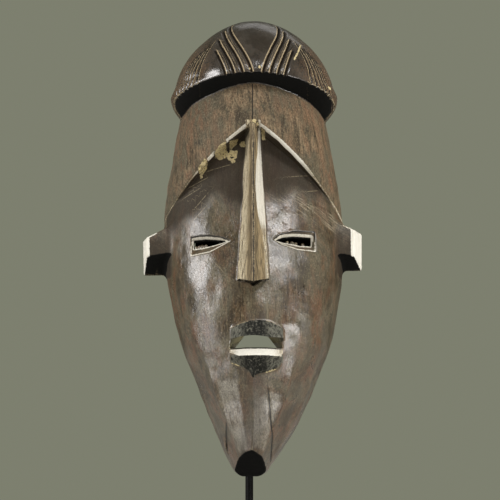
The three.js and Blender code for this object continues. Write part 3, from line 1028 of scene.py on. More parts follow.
@dataclass(frozen=True)
class Ear:
    """A wedge-shaped ear: corners of its outer end face and of its root inside the head, as x, f, h."""

    end: Corners
    root: Corners

    def plane(self, corners: Sequence[Triple]) -> tuple[Array, Array]:
        """The middle of a four-cornered face and its direction out of the ear.

        Args:
            corners: its corners, in order.

        Returns:
            Both as x, f, h.
        """
        a, b, c, d = np.array(corners, float)
        middle = (a + b + c + d) / 4
        normal = np.cross(c - a, d - b)
        normal /= np.linalg.norm(normal)
        inside = np.array(self.end + self.root, float).mean(0)
        return middle, normal if normal @ (middle - inside) > 0 else -normal

    def side_faces(self) -> list[Corners]:
        """Corners of the front, lower, back and upper faces."""
        end, root = self.end, self.root
        return [(end[i], end[(i + 1) % 4], root[(i + 1) % 4], root[i]) for i in range(4)]

    def beyond(self, p: Points, corners: Sequence[Triple]) -> Array:
        """Distance outside a face's plane, negative inside."""
        middle, normal = self.plane(corners)
        return (p.x - middle[0]) * normal[0] + (p.f - middle[1]) * normal[1] + (p.h - middle[2]) * normal[2]

    def near_distance(self, p: Points) -> Array:
        """The ear's field at points near it.

        Args:
            p: the points.

        Returns:
            Millimetres, negative inside.
        """
        form = self.beyond(p, self.end)
        for corners in self.side_faces():
            form = meet(form, self.beyond(p, corners), 1.3)
        return form

    def distance(self, p: Points) -> Array:
        """The ear's field."""
        xs = [corner[0] for corner in self.end + self.root]
        return within(p, (min(xs) - 4, 0.5, 140), (max(xs) + 4, 46, 206), self.near_distance)


@dataclass(frozen=True)
class Chin:
    """The slanted cut that ends the chin, with its heel cut up to the back."""

    front: Pair = (57.0, 17.2)
    back: Pair = (10.0, 0.0)
    heel: float = 15.0

    def distance(self, p: Points) -> Array:
        """Distance below the cuts, so negative in the wood that stays.

        Args:
            p: the points.

        Returns:
            Millimetres, negative inside.
        """
        slope = (self.front[1] - self.back[1]) / (self.front[0] - self.back[0])
        under = (self.back[1] + slope * (p.f - self.back[0]) - p.h) / math.hypot(1, slope)
        steep = self.heel / self.back[0]
        behind = (steep * (self.back[0] - p.f) - p.h) / math.hypot(1, steep)
        return meet(under, behind, 1.5)


@dataclass(frozen=True)
class Hollow:
    """The space for the wearer's face, gouged out from behind with rounded ends."""

    face: Face
    low: float = 27.0
    high: float = 283.0
    wall: float = 12.0
    front: float = 15.5
    end_power: float = 6.0
    shape: float = 2.5
    least_end: float = 0.12
    gouge: Triple = (9.0, 24.0, 0.7)
    gouge_drift: Pair = (0.9, 1.3)
    drift: Noise = Noise((14.0, 14.0, 20.0), 41)

    def distance(self, p: Points) -> Array:
        """The hollow's field, with shallow gouge marks.

        Args:
            p: the points.

        Returns:
            Millimetres, negative inside.
        """
        s = np.clip((2 * p.h - self.low - self.high) / (self.high - self.low), -1, 1)
        end = np.maximum(np.sqrt(1 - np.abs(s) ** self.end_power), self.least_end)
        wide = (self.face.half_width(p.h) - self.wall) * (0.45 + 0.55 * end)
        deep = (self.face.depth(p.h) - self.front) * end
        out = np.abs(p.x - self.face.midline(p.h)) / np.maximum(wide, 1)
        form = oval(out, p.f / deep, (self.shape, self.shape), wide, deep)
        form = meet(form, np.abs(p.h - (self.low + self.high) / 2) - (self.high - self.low) / 2, 4)
        width, length, depth = self.gouge
        drift = self.drift(p)
        across = np.abs(np.sin(math.pi * (p.x / width + self.gouge_drift[0] * drift)))
        bend = self.gouge_drift[1] * drift + 0.35 * np.sin(p.x / 5)
        along = np.abs(np.sin(math.pi * (p.h / length + bend)))
        return form + depth * (1 - across * (0.45 + 0.55 * along))


class Wear(Enum):
    """What a mark on the wood is; its value is the name of the mesh's attribute."""

    KAOLIN = "kaolin"
    DULL = "dull"
    RAW = "raw"
    STRAND = "strand"
    STRAND_CUT = "strand_cut"
    LOCK = "lock"
    LOCK_CUT = "lock_cut"
    RIM = "rim"
    # Soot, and painted shade on downward faces, the chin's end cut and the eye slits' deep walls.
    SOOT = "soot"
    # Painted shade, partly grime: under the brow, low on the ears' fronts and down the chin's middle.
    GRIME = "grime"
    STAIN = "stain"
    # Cracks and ridges, and painted shadows at the eyes' upper edges and under the mouth's gap.
    LINE = "line"
    SCRATCH = "scratch"
    SCRAPED = "scraped"
    # Painted highlight on the chin's knife facets.
    FACET = "facet"
    LIP_ENDS = "lip_ends"
    # Painted light on the mouth slot's inner walls.
    MOUTH = "mouth"
    NOSE = "nose"
    ACROSS_NOSE = "across_nose"
    # Painted shade: how closed in a place is, for darkening creases and hollows.
    CAVITY = "cavity"
    EDGE = "edge"
    SIDE = "side"
    CREST = "crest"
    FOREHEAD = "forehead"
    INSIDE = "inside"


@dataclass(frozen=True)
class MaskForm:
    """The whole mask's field and the marks on its surface."""

    face: Face = Face()
    crest: Crest = Crest()
    chin: Chin = Chin()
    forehead: Forehead = field(init=False)
    nose: Nose = field(init=False)
    mouth: Mouth = field(init=False)
    eyes: tuple[Eye, Eye] = field(init=False)
    hollow: Hollow = field(init=False)
    ears: tuple[Ear, Ear] = (
        Ear(
            ((-81.4, 31, 178.8), (-81.4, 29, 164.3), (-84.2, 7, 153.4), (-85.1, 7, 180.8)),
            ((-60, 34, 190.5), (-60, 34, 169), (-60, 5, 153.4), (-60, 5, 192)),
        ),
        Ear(
            ((75.8, 32, 184.4), (77.4, 29, 165), (82.8, 8, 156.8), (83.9, 8, 186.6)),
            ((60, 34, 194), (60, 34, 168), (60, 5, 156.8), (60, 5, 195)),
        ),
    )
    cracks: tuple[Outline, ...] = (
        ((-20.1, 48.0), (-20.2, 26.5), (-19.7, 19.1), (-18.6, 11.0)),
        ((9.6, 72.0), (10.4, 64.8), (11.4, 55.5), (12.9, 36.3), (14.0, 28.9), (13.4, 22.3), (12.4, 9.0)),
    )
    crack_fade: float = 12.0
    crack_half: float = 0.9
    relief: Triple = (0.36, 0.3, 0.12)
    fillet: float = 1.2
    ear_fillet: float = 4.0
    hollow_fillet: float = 2.5
    lumps: tuple[tuple[int, float, float, float], ...] = (
        (0, -40.5, 169.6, 1.3), (0, -38.2, 169.8, 1.5), (0, -35.3, 170.2, 1.2), (0, -42.8, 169.4, 1.2),
        (1, 28.5, 172.0, 1.5), (1, 31.5, 171.6, 1.3), (1, 36.5, 171.2, 1.3), (1, 25.0, 172.6, 1.1),
    )
    waves: Noise = Noise((12.0, 12.0, 17.0), 51)
    dents: Noise = Noise((6.5, 6.5, 7.0), 53)
    ripples: Noise = Noise((3.6, 5.0, 11.0), 52)

    def __post_init__(self) -> None:
        """Makes the features that follow the face."""
        left_eye = Eye(
            self.face,
            ((-16, 173.2), (-23.5, 176.2), (-32.4, 177.7), (-39.8, 178), (-47, 177.4), (-47.2, 162.4),
             (-32.3, 164.6)),
            ((-19.2, 173.3), (-26.5, 174.4), (-36.1, 175.4), (-44.6, 175), (-44.6, 168.3), (-37.6, 168.8),
             (-28.7, 170.6)),
            ((-16, 173.2), (-47, 171)),
        )
        right_eye = Eye(
            self.face,
            ((14.2, 174.2), (19.6, 178.3), (29.8, 180.9), (45.9, 181.5), (46.4, 165.7), (32.6, 166.5),
             (21.3, 169.9)),
            ((16, 173.9), (21.9, 176.2), (29.4, 177.2), (42.8, 177), (42.6, 170.2), (34.6, 170.1),
             (21.2, 172.3)),
            ((14.2, 174), (46, 173.5)),
        )
        parts = {
            "forehead": Forehead(self.face),
            "nose": Nose(self.face),
            "mouth": Mouth(self.face),
            "eyes": (left_eye, right_eye),
            "hollow": Hollow(self.face),
        }
        for name, part in parts.items():
            object.__setattr__(self, name, part)

    def cracked(self, p: Points) -> Array:
        """Signed distance from the nearest drying crack, on the front only.

        Args:
            p: the points.

        Returns:
            Millimetres.
        """
        closest = np.full(p.x.shape, FAR)
        for line in self.cracks:
            offset = line_offset(p.x, p.h, line)
            fade = 2 * ease(p.h, line[0][1] - self.crack_fade, line[0][1])
            closest = nearer(closest, offset + np.sign(offset) * fade)
        return np.where(p.f > 22, closest, FAR)

    def crumbs(self, p: Points) -> Array:
        """The field of the small lumps stuck in the eye slits."""
        lumps = [self.eyes[eye].crumb(p, x, h, radius) for eye, x, h, radius in self.lumps]
        return np.minimum.reduce(lumps)

    def distance(self, p: Points) -> Array:
        """The field of the carved block, in millimetres, negative in the wood.

        Args:
            p: the points.

        Returns:
            Millimetres, negative inside.
        """
        solid = join(self.face.distance(p), self.forehead.distance(p), self.fillet)
        solid = solid - within(p, (-44, 40, 218), (-4, 80, 254), self.forehead.crumbled, 0)
        solid = join(solid, self.nose.distance(p), self.fillet)
        for size, noise in zip(self.relief, (self.waves, self.dents, self.ripples)):
            solid = solid + size * noise(p)
        solid = join(solid, self.mouth.lips(p), 0.8)
        solid = join(solid, self.crest.distance(p), self.fillet)
        for ear in self.ears:
            solid = join(solid, ear.distance(p), self.ear_fillet)
        solid = solid + np.maximum(0, 1 - np.abs(self.cracked(p)) / self.crack_half)
        solid = cut(solid, self.hollow.distance(p), self.hollow_fillet)
        solid = cut(solid, self.mouth.slot(p), 0.5)
        for eye in self.eyes:
            solid = cut(solid, eye.distance(p), 0.5)
        solid = join(solid, within(p, (-50, 40, 164), (50, 70, 178), self.crumbs), 0.5)
        solid = cut(solid, self.nose.notch(p), 0.6)
        solid = meet(solid, self.chin.distance(p), self.fillet)
        return meet(solid, -p.f, 1.5)

    def slope(self, p: Points, here: Array, step: float = 0.12) -> Array:
        """The field's slope at each point, as rows of x, f, h.

        Args:
            p: the points.
            here: the field at the points.
            step: how far apart it is compared, in millimetres.

        Returns:
            One row for each point.
        """
        ahead = [
            self.distance(Points(p.x + step, p.f, p.h)),
            self.distance(Points(p.x, p.f + step, p.h)),
            self.distance(Points(p.x, p.f, p.h + step)),
        ]
        return np.stack([(value - here) / step for value in ahead], 1)


# Meshing


@dataclass(frozen=True)
class Mesher:
    """Draws a mesh over the zero surface of a form's field, on a grid of small cubes."""

    form: MaskForm
    low: Triple = (-88.0, -3.0, -4.0)
    high: Triple = (88.0, 102.0, 354.0)
    step: float = 1.0
    coarse: int = 4
    reach: float = 7.5
    batch: int = 400_000

    def evaluate(self, rows: Array) -> Array:
        """The field at rows of x, f, h, worked out in batches."""
        starts = range(0, len(rows), self.batch)
        return np.concatenate([self.form.distance(Points.of(rows[i : i + self.batch])) for i in starts])

    def grid(self) -> Array:
        """The field on the grid: fine near the surface, and filled in coarsely elsewhere.

        Returns:
            A block of numbers, one for each grid point.
        """
        low, high = np.array(self.low), np.array(self.high)
        counts = np.ceil((high - low) / self.step / self.coarse).astype(int) + 1
        spots = np.stack(np.meshgrid(*[np.arange(n) for n in counts], indexing="ij"), -1).reshape(-1, 3)
        wide = self.evaluate(low + spots * (self.step * self.coarse)).reshape(counts)
        values = wide
        for axis in range(3):
            values = np.repeat(values, self.coarse, axis)
        fine = np.argwhere(np.abs(values) < self.reach)
        shift = (self.coarse - 1) / 2
        values[tuple(fine.T)] = self.evaluate(low + (fine - shift) * self.step)
        return values

    def net(self, values: Array) -> tuple[Array, npt.NDArray[np.int64]]:
        """One vertex in each cube that the surface crosses, and a quad for each crossed grid edge.

        Args:
            values: the field on the grid.

        Returns:
            Vertices as rows of x, f, h, and quads as rows of four vertex numbers.
        """
        inside = values < 0
        halves = (slice(0, -1), slice(1, None))
        filled = sum(inside[corner].astype(np.int8) for corner in itertools.product(halves, repeat=3))
        crossed = (filled > 0) & (filled < 8)
        cubes = np.argwhere(crossed)
        number = np.full(crossed.shape, -1, np.int64)
        number[crossed] = np.arange(len(cubes))
        total = np.zeros((len(cubes), 3))
        count = np.zeros(len(cubes))
        quads = []
        for axis in range(3):
            unit = np.eye(3, dtype=int)[axis]
            others = [np.eye(3, dtype=int)[other] for other in range(3) if other != axis]
            for i, j in itertools.product((0, 1), repeat=2):
                start = cubes + i * others[0] + j * others[1]
                first = values[tuple(start.T)]
                second = values[tuple((start + unit).T)]
                crosses = (first < 0) != (second < 0)
                share = first / np.where(crosses, first - second, 1)
                total[crosses] += start[crosses] + unit * share[crosses][:, None]
                count += crosses
            quads.append(self.quads(inside, number, axis, others))
        shift = (self.coarse - 1) / 2
        vertices = np.array(self.low) + (total / count[:, None] - shift) * self.step
        return vertices, np.concatenate(quads)

    @staticmethod
    def quads(inside: Array, number: Array, axis: int, others: list[Array]) -> Array:
        """The quads around the crossed grid edges along one axis, facing out of the wood.

        Args:
            inside: which grid points lie in the wood.
            number: each cube's vertex number, or -1.
            axis: 0, 1 or 2, for x, f or h.
            others: unit steps along the other two axes.

        Returns:
            Rows of four vertex numbers.
        """
        lower = [slice(1, -1)] * 3
        upper = [slice(1, -1)] * 3
        lower[axis], upper[axis] = slice(0, -1), slice(1, None)
        change = inside[tuple(lower)].astype(np.int8) - inside[tuple(upper)].astype(np.int8)
        start = np.argwhere(change != 0) + np.where(np.arange(3) == axis, 0, 1)
        a, b = others
        ring = [start - a - b, start - b, start, start - a]
        made = np.stack([number[tuple(corner.T)] for corner in ring], 1)
        leaving = change[change != 0] > 0
        if axis == 1:
            leaving = ~leaving
        return np.where(leaving[:, None], made, made[:, ::-1])

    def settle(self, vertices: Array, rounds: int = 2) -> Array:
        """Moves vertices onto the zero surface, and returns them with the surface's directions.

        Args:
            vertices: rows of x, f, h.
            rounds: how often they are moved.

        Returns:
            The moved rows, and a direction for each.
        """
        placed = vertices
        for _ in range(rounds + 1):
            p = Points.of(placed)
            value = self.form.distance(p)
            slope = self.form.slope(p, value)
            steep = np.maximum((slope**2).sum(1), 0.25)
            last, placed = placed, placed - slope * (np.clip(value, -0.6, 0.6) / steep)[:, None]
        normal = slope / np.sqrt(np.maximum((slope**2).sum(1), 1e-9))[:, None]
        return last, normal


@dataclass(frozen=True)
class Marks:
    """Where paint, wear and soot lie on the mask's surface, and where shade, shadows and highlights are
    painted.
    """

    form: MaskForm
    points: Points
    normal: Array
    white_inner: Curve = Curve(
        (143, 0.86), (158, 0.82), (171, 0.74), (182, 0.58), (189, 0.42), (197, 0.3), (208, 0.22), (219, 0.24),
        (230, 0.34), (238, 0.5), (248, 0.62), (262, 0.75),
    )
    bare_spots: tuple[Triple, ...] = (
        (57.5, 291.5, 1.5), (0.6, 261.0, 1.7), (3.2, 259.0, 1.2), (-2.8, 298.6, 0.9), (4.4, 299.6, 1.2),
    )
    bare_strip: Outline = ((35.5, 323.0), (34.2, 318.0), (32.6, 313.0), (30.4, 308.0))
    lip_bare: tuple[Pair, Pair] = ((-16.9, -9.5), (9.0, 18.0))
    scraped_patches: tuple[Outline, ...] = (
        ((9, 211), (22, 209), (30, 214), (44, 216), (62, 196), (68, 184), (58, 181), (44, 188), (22, 198),
         (10, 205)),
        ((-61, 192), (-78, 180), (-79, 168), (-64, 172)),
        ((61, 193), (74, 185), (75, 169), (64, 173)),
    )
    # Where a highlight is painted on the chin's knife facets.
    facet_highlight_patches: tuple[Outline, ...] = (
        ((-27.2, 69.6), (-12.4, 69.6), (-7.8, 40.2), (-4.5, 19.0), (-10.7, 16.1), (-18.8, 36.6)),
        ((0.6, 54.9), (12.1, 60.8), (20.9, 59.3), (13.5, 36.6), (7.9, 18.3), (-0.4, 20.5)),
    )
    scratch_lines: tuple[tuple[Pair, Pair], ...] = (
        ((-43.4, 200.0), (-35.5, 209.1)), ((-44.5, 190.6), (-36.6, 199.2)), ((-47.5, 216.3), (-35.6, 222.0)),
        ((-34.9, 227.3), (-18.4, 231.5)), ((-52.0, 208.3), (-40.8, 214.4)), ((28.0, 222.8), (40.0, 224.3)),
        ((40.7, 212.1), (48.2, 213.6)), ((9.9, 124.1), (10.2, 114.5)), ((-28.5, 156.3), (-23.3, 150.3)),
    )

    def moved(self, distance: float) -> Points:
        """The points moved that far out of the surface, or into it if negative."""
        p, n = self.points, self.normal
        return Points(p.x + n[:, 0] * distance, p.f + n[:, 1] * distance, p.h + n[:, 2] * distance)

    def brow_paint(self) -> Array:
        """Distance inside the white strip on the brow's bevel; it thins out towards the sides.

        Returns:
            Millimetres.
        """
        p, forehead = self.points, self.form.forehead
        above = forehead.above_edge(p)
        strip = np.minimum(above + 0.5, forehead.bevel + 0.15 - above)
        front = np.minimum(forehead.front(p) + forehead.bevel + 0.9, 3)
        thin = 0.8 * ease(np.abs(p.x), 38, 48) + 0.35 * ease(-p.x, 8, 14)
        beside_nose = (np.abs(p.x - self.form.nose.x) - 5.3) * 2
        whole = -forehead.inside(p, forehead.chips) - 0.3
        strip = np.minimum(np.minimum(strip, front) - thin, whole)
        return np.where(p.h > 180, np.minimum(strip, beside_nose), -3)

    def ear_paint(self) -> Array:
        """Distance inside the white end faces of the ears and their painted front edges.

        Returns:
            Millimetres.
        """
        p = self.points
        best = np.full(p.x.shape, -3.0)
        for ear in self.form.ears:
            end, front = ear.beyond(p, ear.end), ear.beyond(p, ear.side_faces()[0])
            top = ear.beyond(p, ear.side_faces()[3])
            face = 0.75 - np.abs(end)
            strip = np.minimum(np.minimum(2.7 + end, 0.9 - np.abs(front)), (p.h - 165) / 2)
            ridge = np.minimum(0.9 - np.abs(top), 1.2 - np.abs(front))
            ridge = np.minimum(ridge, (8.5 + end) / 3)
            best = np.maximum(best, np.maximum(face, np.maximum(strip, ridge)))
        return best

    def nose_paint(self) -> Array:
        """Distance inside the white on the nose's right facet, which narrows up and down.

        Returns:
            Millimetres.
        """
        p, nose = self.points, self.form.nose
        _, half, base, _ = nose.shares(p)
        across = (p.x - nose.x) / half
        strip = np.minimum(across - self.white_inner(p.h), 1.0 - across) * half
        strip = np.minimum(strip, (257 - p.h) / 3)
        strip = np.minimum(strip, (p.f - self.form.face.front(p.x, p.h) - 0.4) / 2)
        return np.where((p.f > base - 1) & (p.h < nose.top) & (p.h > 139), strip, -3)

    def kaolin(self) -> Array:
        """Distance inside any white paint.

        Returns:
            Millimetres.
        """
        p = self.points
        paints = [self.brow_paint(), self.ear_paint(), self.nose_paint(), self.form.mouth.painted(p)]
        paints += [np.where(p.f > 40, eye.painted(p), -3) for eye in self.form.eyes]
        return np.maximum.reduce(paints)

    def dull(self) -> Array:
        """Where the white has gone dull: 0 is clean, 1 is rubbed down to a tan trace.

        Returns:
            Shares from 0 to 1.
        """
        p = self.points
        brow = ease(np.abs(p.x), 34, 48) * ease(p.h, 184, 190)
        left = 0.4 * ease(-p.x, 6, 12) * ease(p.h, 184, 190)
        eyes = 0.25 * (p.h > 160) * (p.h < 185) * (np.abs(p.x) > 13) * (np.abs(p.x) < 55)
        nose = (np.abs(p.x) < 12.5) * (p.h > 139) * np.maximum(ease(p.h, 192, 178), 0.35)
        ends = 0.8 * (np.abs(p.h - 89) < 6) * ease(np.abs(p.x - 1.9), 12, 19)
        return np.clip(np.maximum.reduce([brow, left, eyes, nose, ends]), 0, 1)

    def raw(self) -> Array:
        """Distance inside wood that is chipped or rubbed bare.

        Returns:
            Millimetres.
        """
        p, form = self.points, self.form
        forehead = form.forehead
        ragged = forehead.inside(p, forehead.crumb_patches) - 0.2 + 1.6 * forehead.crumbs(p)
        loose = np.minimum(ragged, 2 * forehead.flakes(p) + 1.1)
        broken = np.maximum(forehead.inside(p, forehead.chips), loose)
        near = (p.f > form.face.front(p.x, p.h) - 1.0) & (p.h > 205) & (p.h < 264) & (np.abs(p.x) > 4.5)
        best = np.where(near, broken, -3.0)
        for x, h, radius in self.bare_spots:
            best = np.maximum(best, radius - np.hypot(p.x - x, p.h - h))
        best = np.maximum(best, 0.7 - np.abs(line_offset(p.x, p.h, self.bare_strip)))
        lower = p.h - form.mouth.lower.outer(p.x)
        for low, high in self.lip_bare:
            along = np.minimum(p.x - low, high - p.x) / 3
            best = np.maximum(best, np.minimum(np.minimum(lower + 0.5, 0.2 + 0.35 * along - lower), along))
        return np.where(p.f > 12, best, -3)

    def rim(self) -> Array:
        """Signed distance from the worn lower edge of the crest, and from a painted highlight along the outer
        edge of the upper lip.

        Returns:
            Millimetres.
        """
        p, form = self.points, self.form
        crest_edge = np.where(p.h > 262, p.h - form.crest.underside(p) - 0.9, FAR)
        crest_edge = np.where(np.abs(p.x) > 40, crest_edge, FAR)
        # Painted highlight: a pale line along the upper lip's outer edge, on either side of its middle.
        on_lip = (p.h > 103) & (p.h < 117) & (np.abs(p.x) < 18) & (np.abs(p.x - 2.3) > 6.2)
        return nearer(crest_edge, np.where(on_lip, p.h - form.mouth.upper.outer(p.x) - 0.1, FAR))

    def soot(self) -> Array:
        """Where the wood is blackened: partly soot, partly painted shade on the faces that turn down under
        the crest, the ears and the nose, on the chin's end cut and on the eye slits' deep walls.

        Returns:
            Shares from 0 to 1.
        """
        p, form, down = self.points, self.form, -self.normal[:, 2]
        # Painted shade, partly soot: the downward faces, the chin's end cut and the eye slits' deep walls.
        under_crest = (p.h > 262) * ease(down, 0.25, 0.6) * ease(form.crest.underside(p) - p.h, -2.5, -1.0)
        under_ear = (np.abs(p.x) > 60) * (p.h < 178) * ease(down, 0.2, 0.5) * (p.f > 4)
        chin = ease(form.chin.distance(p), -1.3, -0.5) * (p.h < 30)
        nose = (np.abs(p.x) < 14) * (p.h < 147) * (p.h > 132) * ease(down, 0.12, 0.4) * (p.f > 60)
        slit = ease(np.maximum.reduce([-eye.distance(p) for eye in form.eyes]), -0.6, -0.2)
        slit = slit * ease(np.minimum.reduce([eye.sunk(p) for eye in form.eyes]), 4.8, 5.6)
        return np.maximum.reduce([under_crest, under_ear, chin, nose, slit])

    def grime(self) -> Array:
        """How dark the wood is made, partly grime and partly painted shade: the brow's shadow in the recess
        under it, the ears' fronts darker lower down, and a strip down the chin's middle.

        Returns:
            Shares from 0 to 1.
        """
        p, form = self.points, self.form
        below = (form.forehead.above_edge(p) < 0.5) * (np.abs(p.x) < 66)
        border = p.h - 0.12 * np.abs(p.x) + 7 * form.waves(p) + 0.9 * np.maximum(-p.x - 28, 0)
        # Painted shade, partly grime: the brow's shadow over the recess under it.
        recess = ease(border, 196, 212) * below * (p.h > 170)
        # Painted shade: the ears' fronts grow darker towards their lower edges.
        ear = ease(np.abs(p.x), 60, 64) * (p.h > 150) * ease(p.h + 5 * form.dents(p), 193, 174) * (p.f > 6)
        # Painted shade: a darker strip down the middle of the chin.
        chin = 0.55 * ease(np.abs(p.x - form.face.midline(p.h) + 1), 10, 5) * ease(p.h, 84, 66) * (p.f > 30)
        return np.maximum.reduce([recess * (1 - self.nose_skin()), ear, chin])

    def scratches(self) -> Array:
        """Signed distance from the fine pale scratches, most of them in the recess under the brow.

        Returns:
            Millimetres.
        """
        p = self.points
        closest = np.full(p.x.shape, FAR)
        for line in self.scratch_lines:
            closest = nearer(closest, line_offset(p.x, p.h, line))
        return np.where(p.f > 12, closest, FAR)

    def lines(self) -> Array:
        """Signed distance from thin dark lines: cracks and the middle ridges, and painted shadows along the
        eyes' upper outlines and under the mouth's gap.

        Returns:
            Millimetres.
        """
        p, form = self.points, self.form
        closest = form.cracked(p)
        on_forehead = (p.h > 262) & (form.crest.underside(p) > p.h + 1.5) & (p.f > 40)
        closest = nearer(closest, np.where(on_forehead, p.x - form.face.midline(p.h) + 0.2, FAR))
        up, _, _, ridge = form.nose.shares(p)
        on_nose = (p.f > ridge - 4) & (up < 0.86) & (p.h > 136)
        closest = nearer(closest, np.where(on_nose, p.x - form.nose.x - 0.3, FAR))
        # Painted shadow: a thin dark line along the top of the lower lip's white band, under the gap.
        above_paint = p.h - form.mouth.low + form.mouth.paint_margin - 0.45
        beside_gap = (np.abs(above_paint) < 3) & (np.abs(p.x - form.mouth.middle) < 19) & (p.f > 60)
        closest = nearer(closest, np.where(beside_gap, above_paint, FAR))
        # Painted shadow: a thin dark line just inside each eye's upper outer edge.
        for eye in form.eyes:
            near = (eye.above(p) > 1) & (p.f > 40) & (np.abs(p.h - 176) < 9)
            closest = nearer(closest, np.where(near, eye.outline(p) + 0.3, FAR))
        return closest

    def nose_skin(self) -> Array:
        """1 on the nose's paler wood, and 0 off it.

        Returns:
            Shares from 0 to 1.
        """
        p, nose = self.points, self.form.nose
        _, half, base, _ = nose.shares(p)
        inside = ease(np.abs(p.x - nose.x) - half, 0.6, 0.0)
        return inside * ease(p.f - base, 0.2, 1.0) * (p.h < nose.top + 0.5) * (p.h > 137)

    def fine(self) -> dict[Wear, Array]:
        """The marks with thin shapes or sharp borders.

        Returns:
            Values for each mark.
        """
        p, crest = self.points, self.form.crest
        strand, strand_cut = crest.nearest(p, crest.strand_lines(p))
        lock, lock_cut = crest.nearest(p, crest.lock_lines(p))
        return {
            Wear.KAOLIN: self.kaolin(),
            Wear.RAW: self.raw(),
            Wear.STRAND: strand,
            Wear.STRAND_CUT: strand_cut,
            Wear.LOCK: lock,
            Wear.LOCK_CUT: lock_cut,
            Wear.RIM: self.rim(),
            Wear.LINE: self.lines(),
            Wear.SCRATCH: self.scratches(),
            Wear.STAIN: np.where(p.f > 50, self.form.mouth.stained(p), -3),
        }

    def broad(self) -> dict[Wear, Array]:
        """The marks with soft borders.

        Returns:
            Values for each mark.
        """
        p, form = self.points, self.form
        on_crest = (form.crest.underside(p) < p.h + 1) & (p.h > 262)
        forehead = (form.forehead.above_edge(p) > 0) & (p.h < 300)
        mouth_end = form.mouth.end_front
        flat_back = (p.f < 1.5).astype(float)
        return {
            Wear.DULL: self.dull(),
            Wear.SOOT: self.soot(),
            Wear.GRIME: self.grime(),
            # Painted light: pale olive on the mouth slot's walls, growing towards the back.
            Wear.MOUTH: ease(-form.mouth.slot(p), -0.9, -0.4) * ease(p.f, mouth_end, mouth_end - 13),
            Wear.LIP_ENDS: ease(np.abs(p.x - form.mouth.middle + 1), 5.0, 12.0),
            Wear.SCRAPED: ease(form.forehead.inside(p, self.scraped_patches), -2, 4) * (p.f > 12),
            # Painted highlight on the chin's knife facets.
            Wear.FACET: ease(form.forehead.inside(p, self.facet_highlight_patches), -0.8, 1.0) * (p.f > 30),
            Wear.NOSE: self.nose_skin(),
            Wear.ACROSS_NOSE: form.nose.across(p),
            # Painted shade: how closed in each place is, used to darken creases and hollows.
            Wear.CAVITY: np.clip(1 - form.distance(self.moved(3.0)) / 3.0, 0, 1),
            Wear.EDGE: np.clip(1 + form.distance(self.moved(-1.6)) / 1.6, 0, 1),
            Wear.SIDE: ease(np.abs(self.normal[:, 0]), 0.45, 0.85),
            Wear.FOREHEAD: forehead * ~on_crest * ease(form.forehead.front(p), -5, -3),
            Wear.CREST: on_crest.astype(float),
            Wear.INSIDE: np.maximum(ease(np.abs(form.hollow.distance(p)), 2.5, 0.8), flat_back),
        }

    def importance(self) -> Array:
        """How much a vertex matters when the mesh is thinned out, from 0 to 1.

        Returns:
            Shares from 0 to 1.
        """
        fine = self.fine()
        thin = np.minimum(np.abs(fine[Wear.LINE]), np.abs(fine[Wear.SCRATCH]) + 0.4)
        strand = np.where(fine[Wear.STRAND_CUT] > 0, np.abs(fine[Wear.STRAND] + 0.6), FAR)
        lock = np.where(fine[Wear.LOCK_CUT] > 0, np.abs(fine[Wear.LOCK] + 0.4) + 0.6, FAR)
        border = np.minimum(np.abs(fine[Wear.KAOLIN]), np.abs(fine[Wear.RAW]))
        border = np.minimum(border, np.minimum(np.abs(fine[Wear.RIM]), np.abs(fine[Wear.STAIN])))
        nearest = np.minimum.reduce([thin, strand * 0.6, lock, border + 0.4])
        return np.where(self.points.f > 12, ease(nearest, 2.2, 0.9), 0)


# Finishes


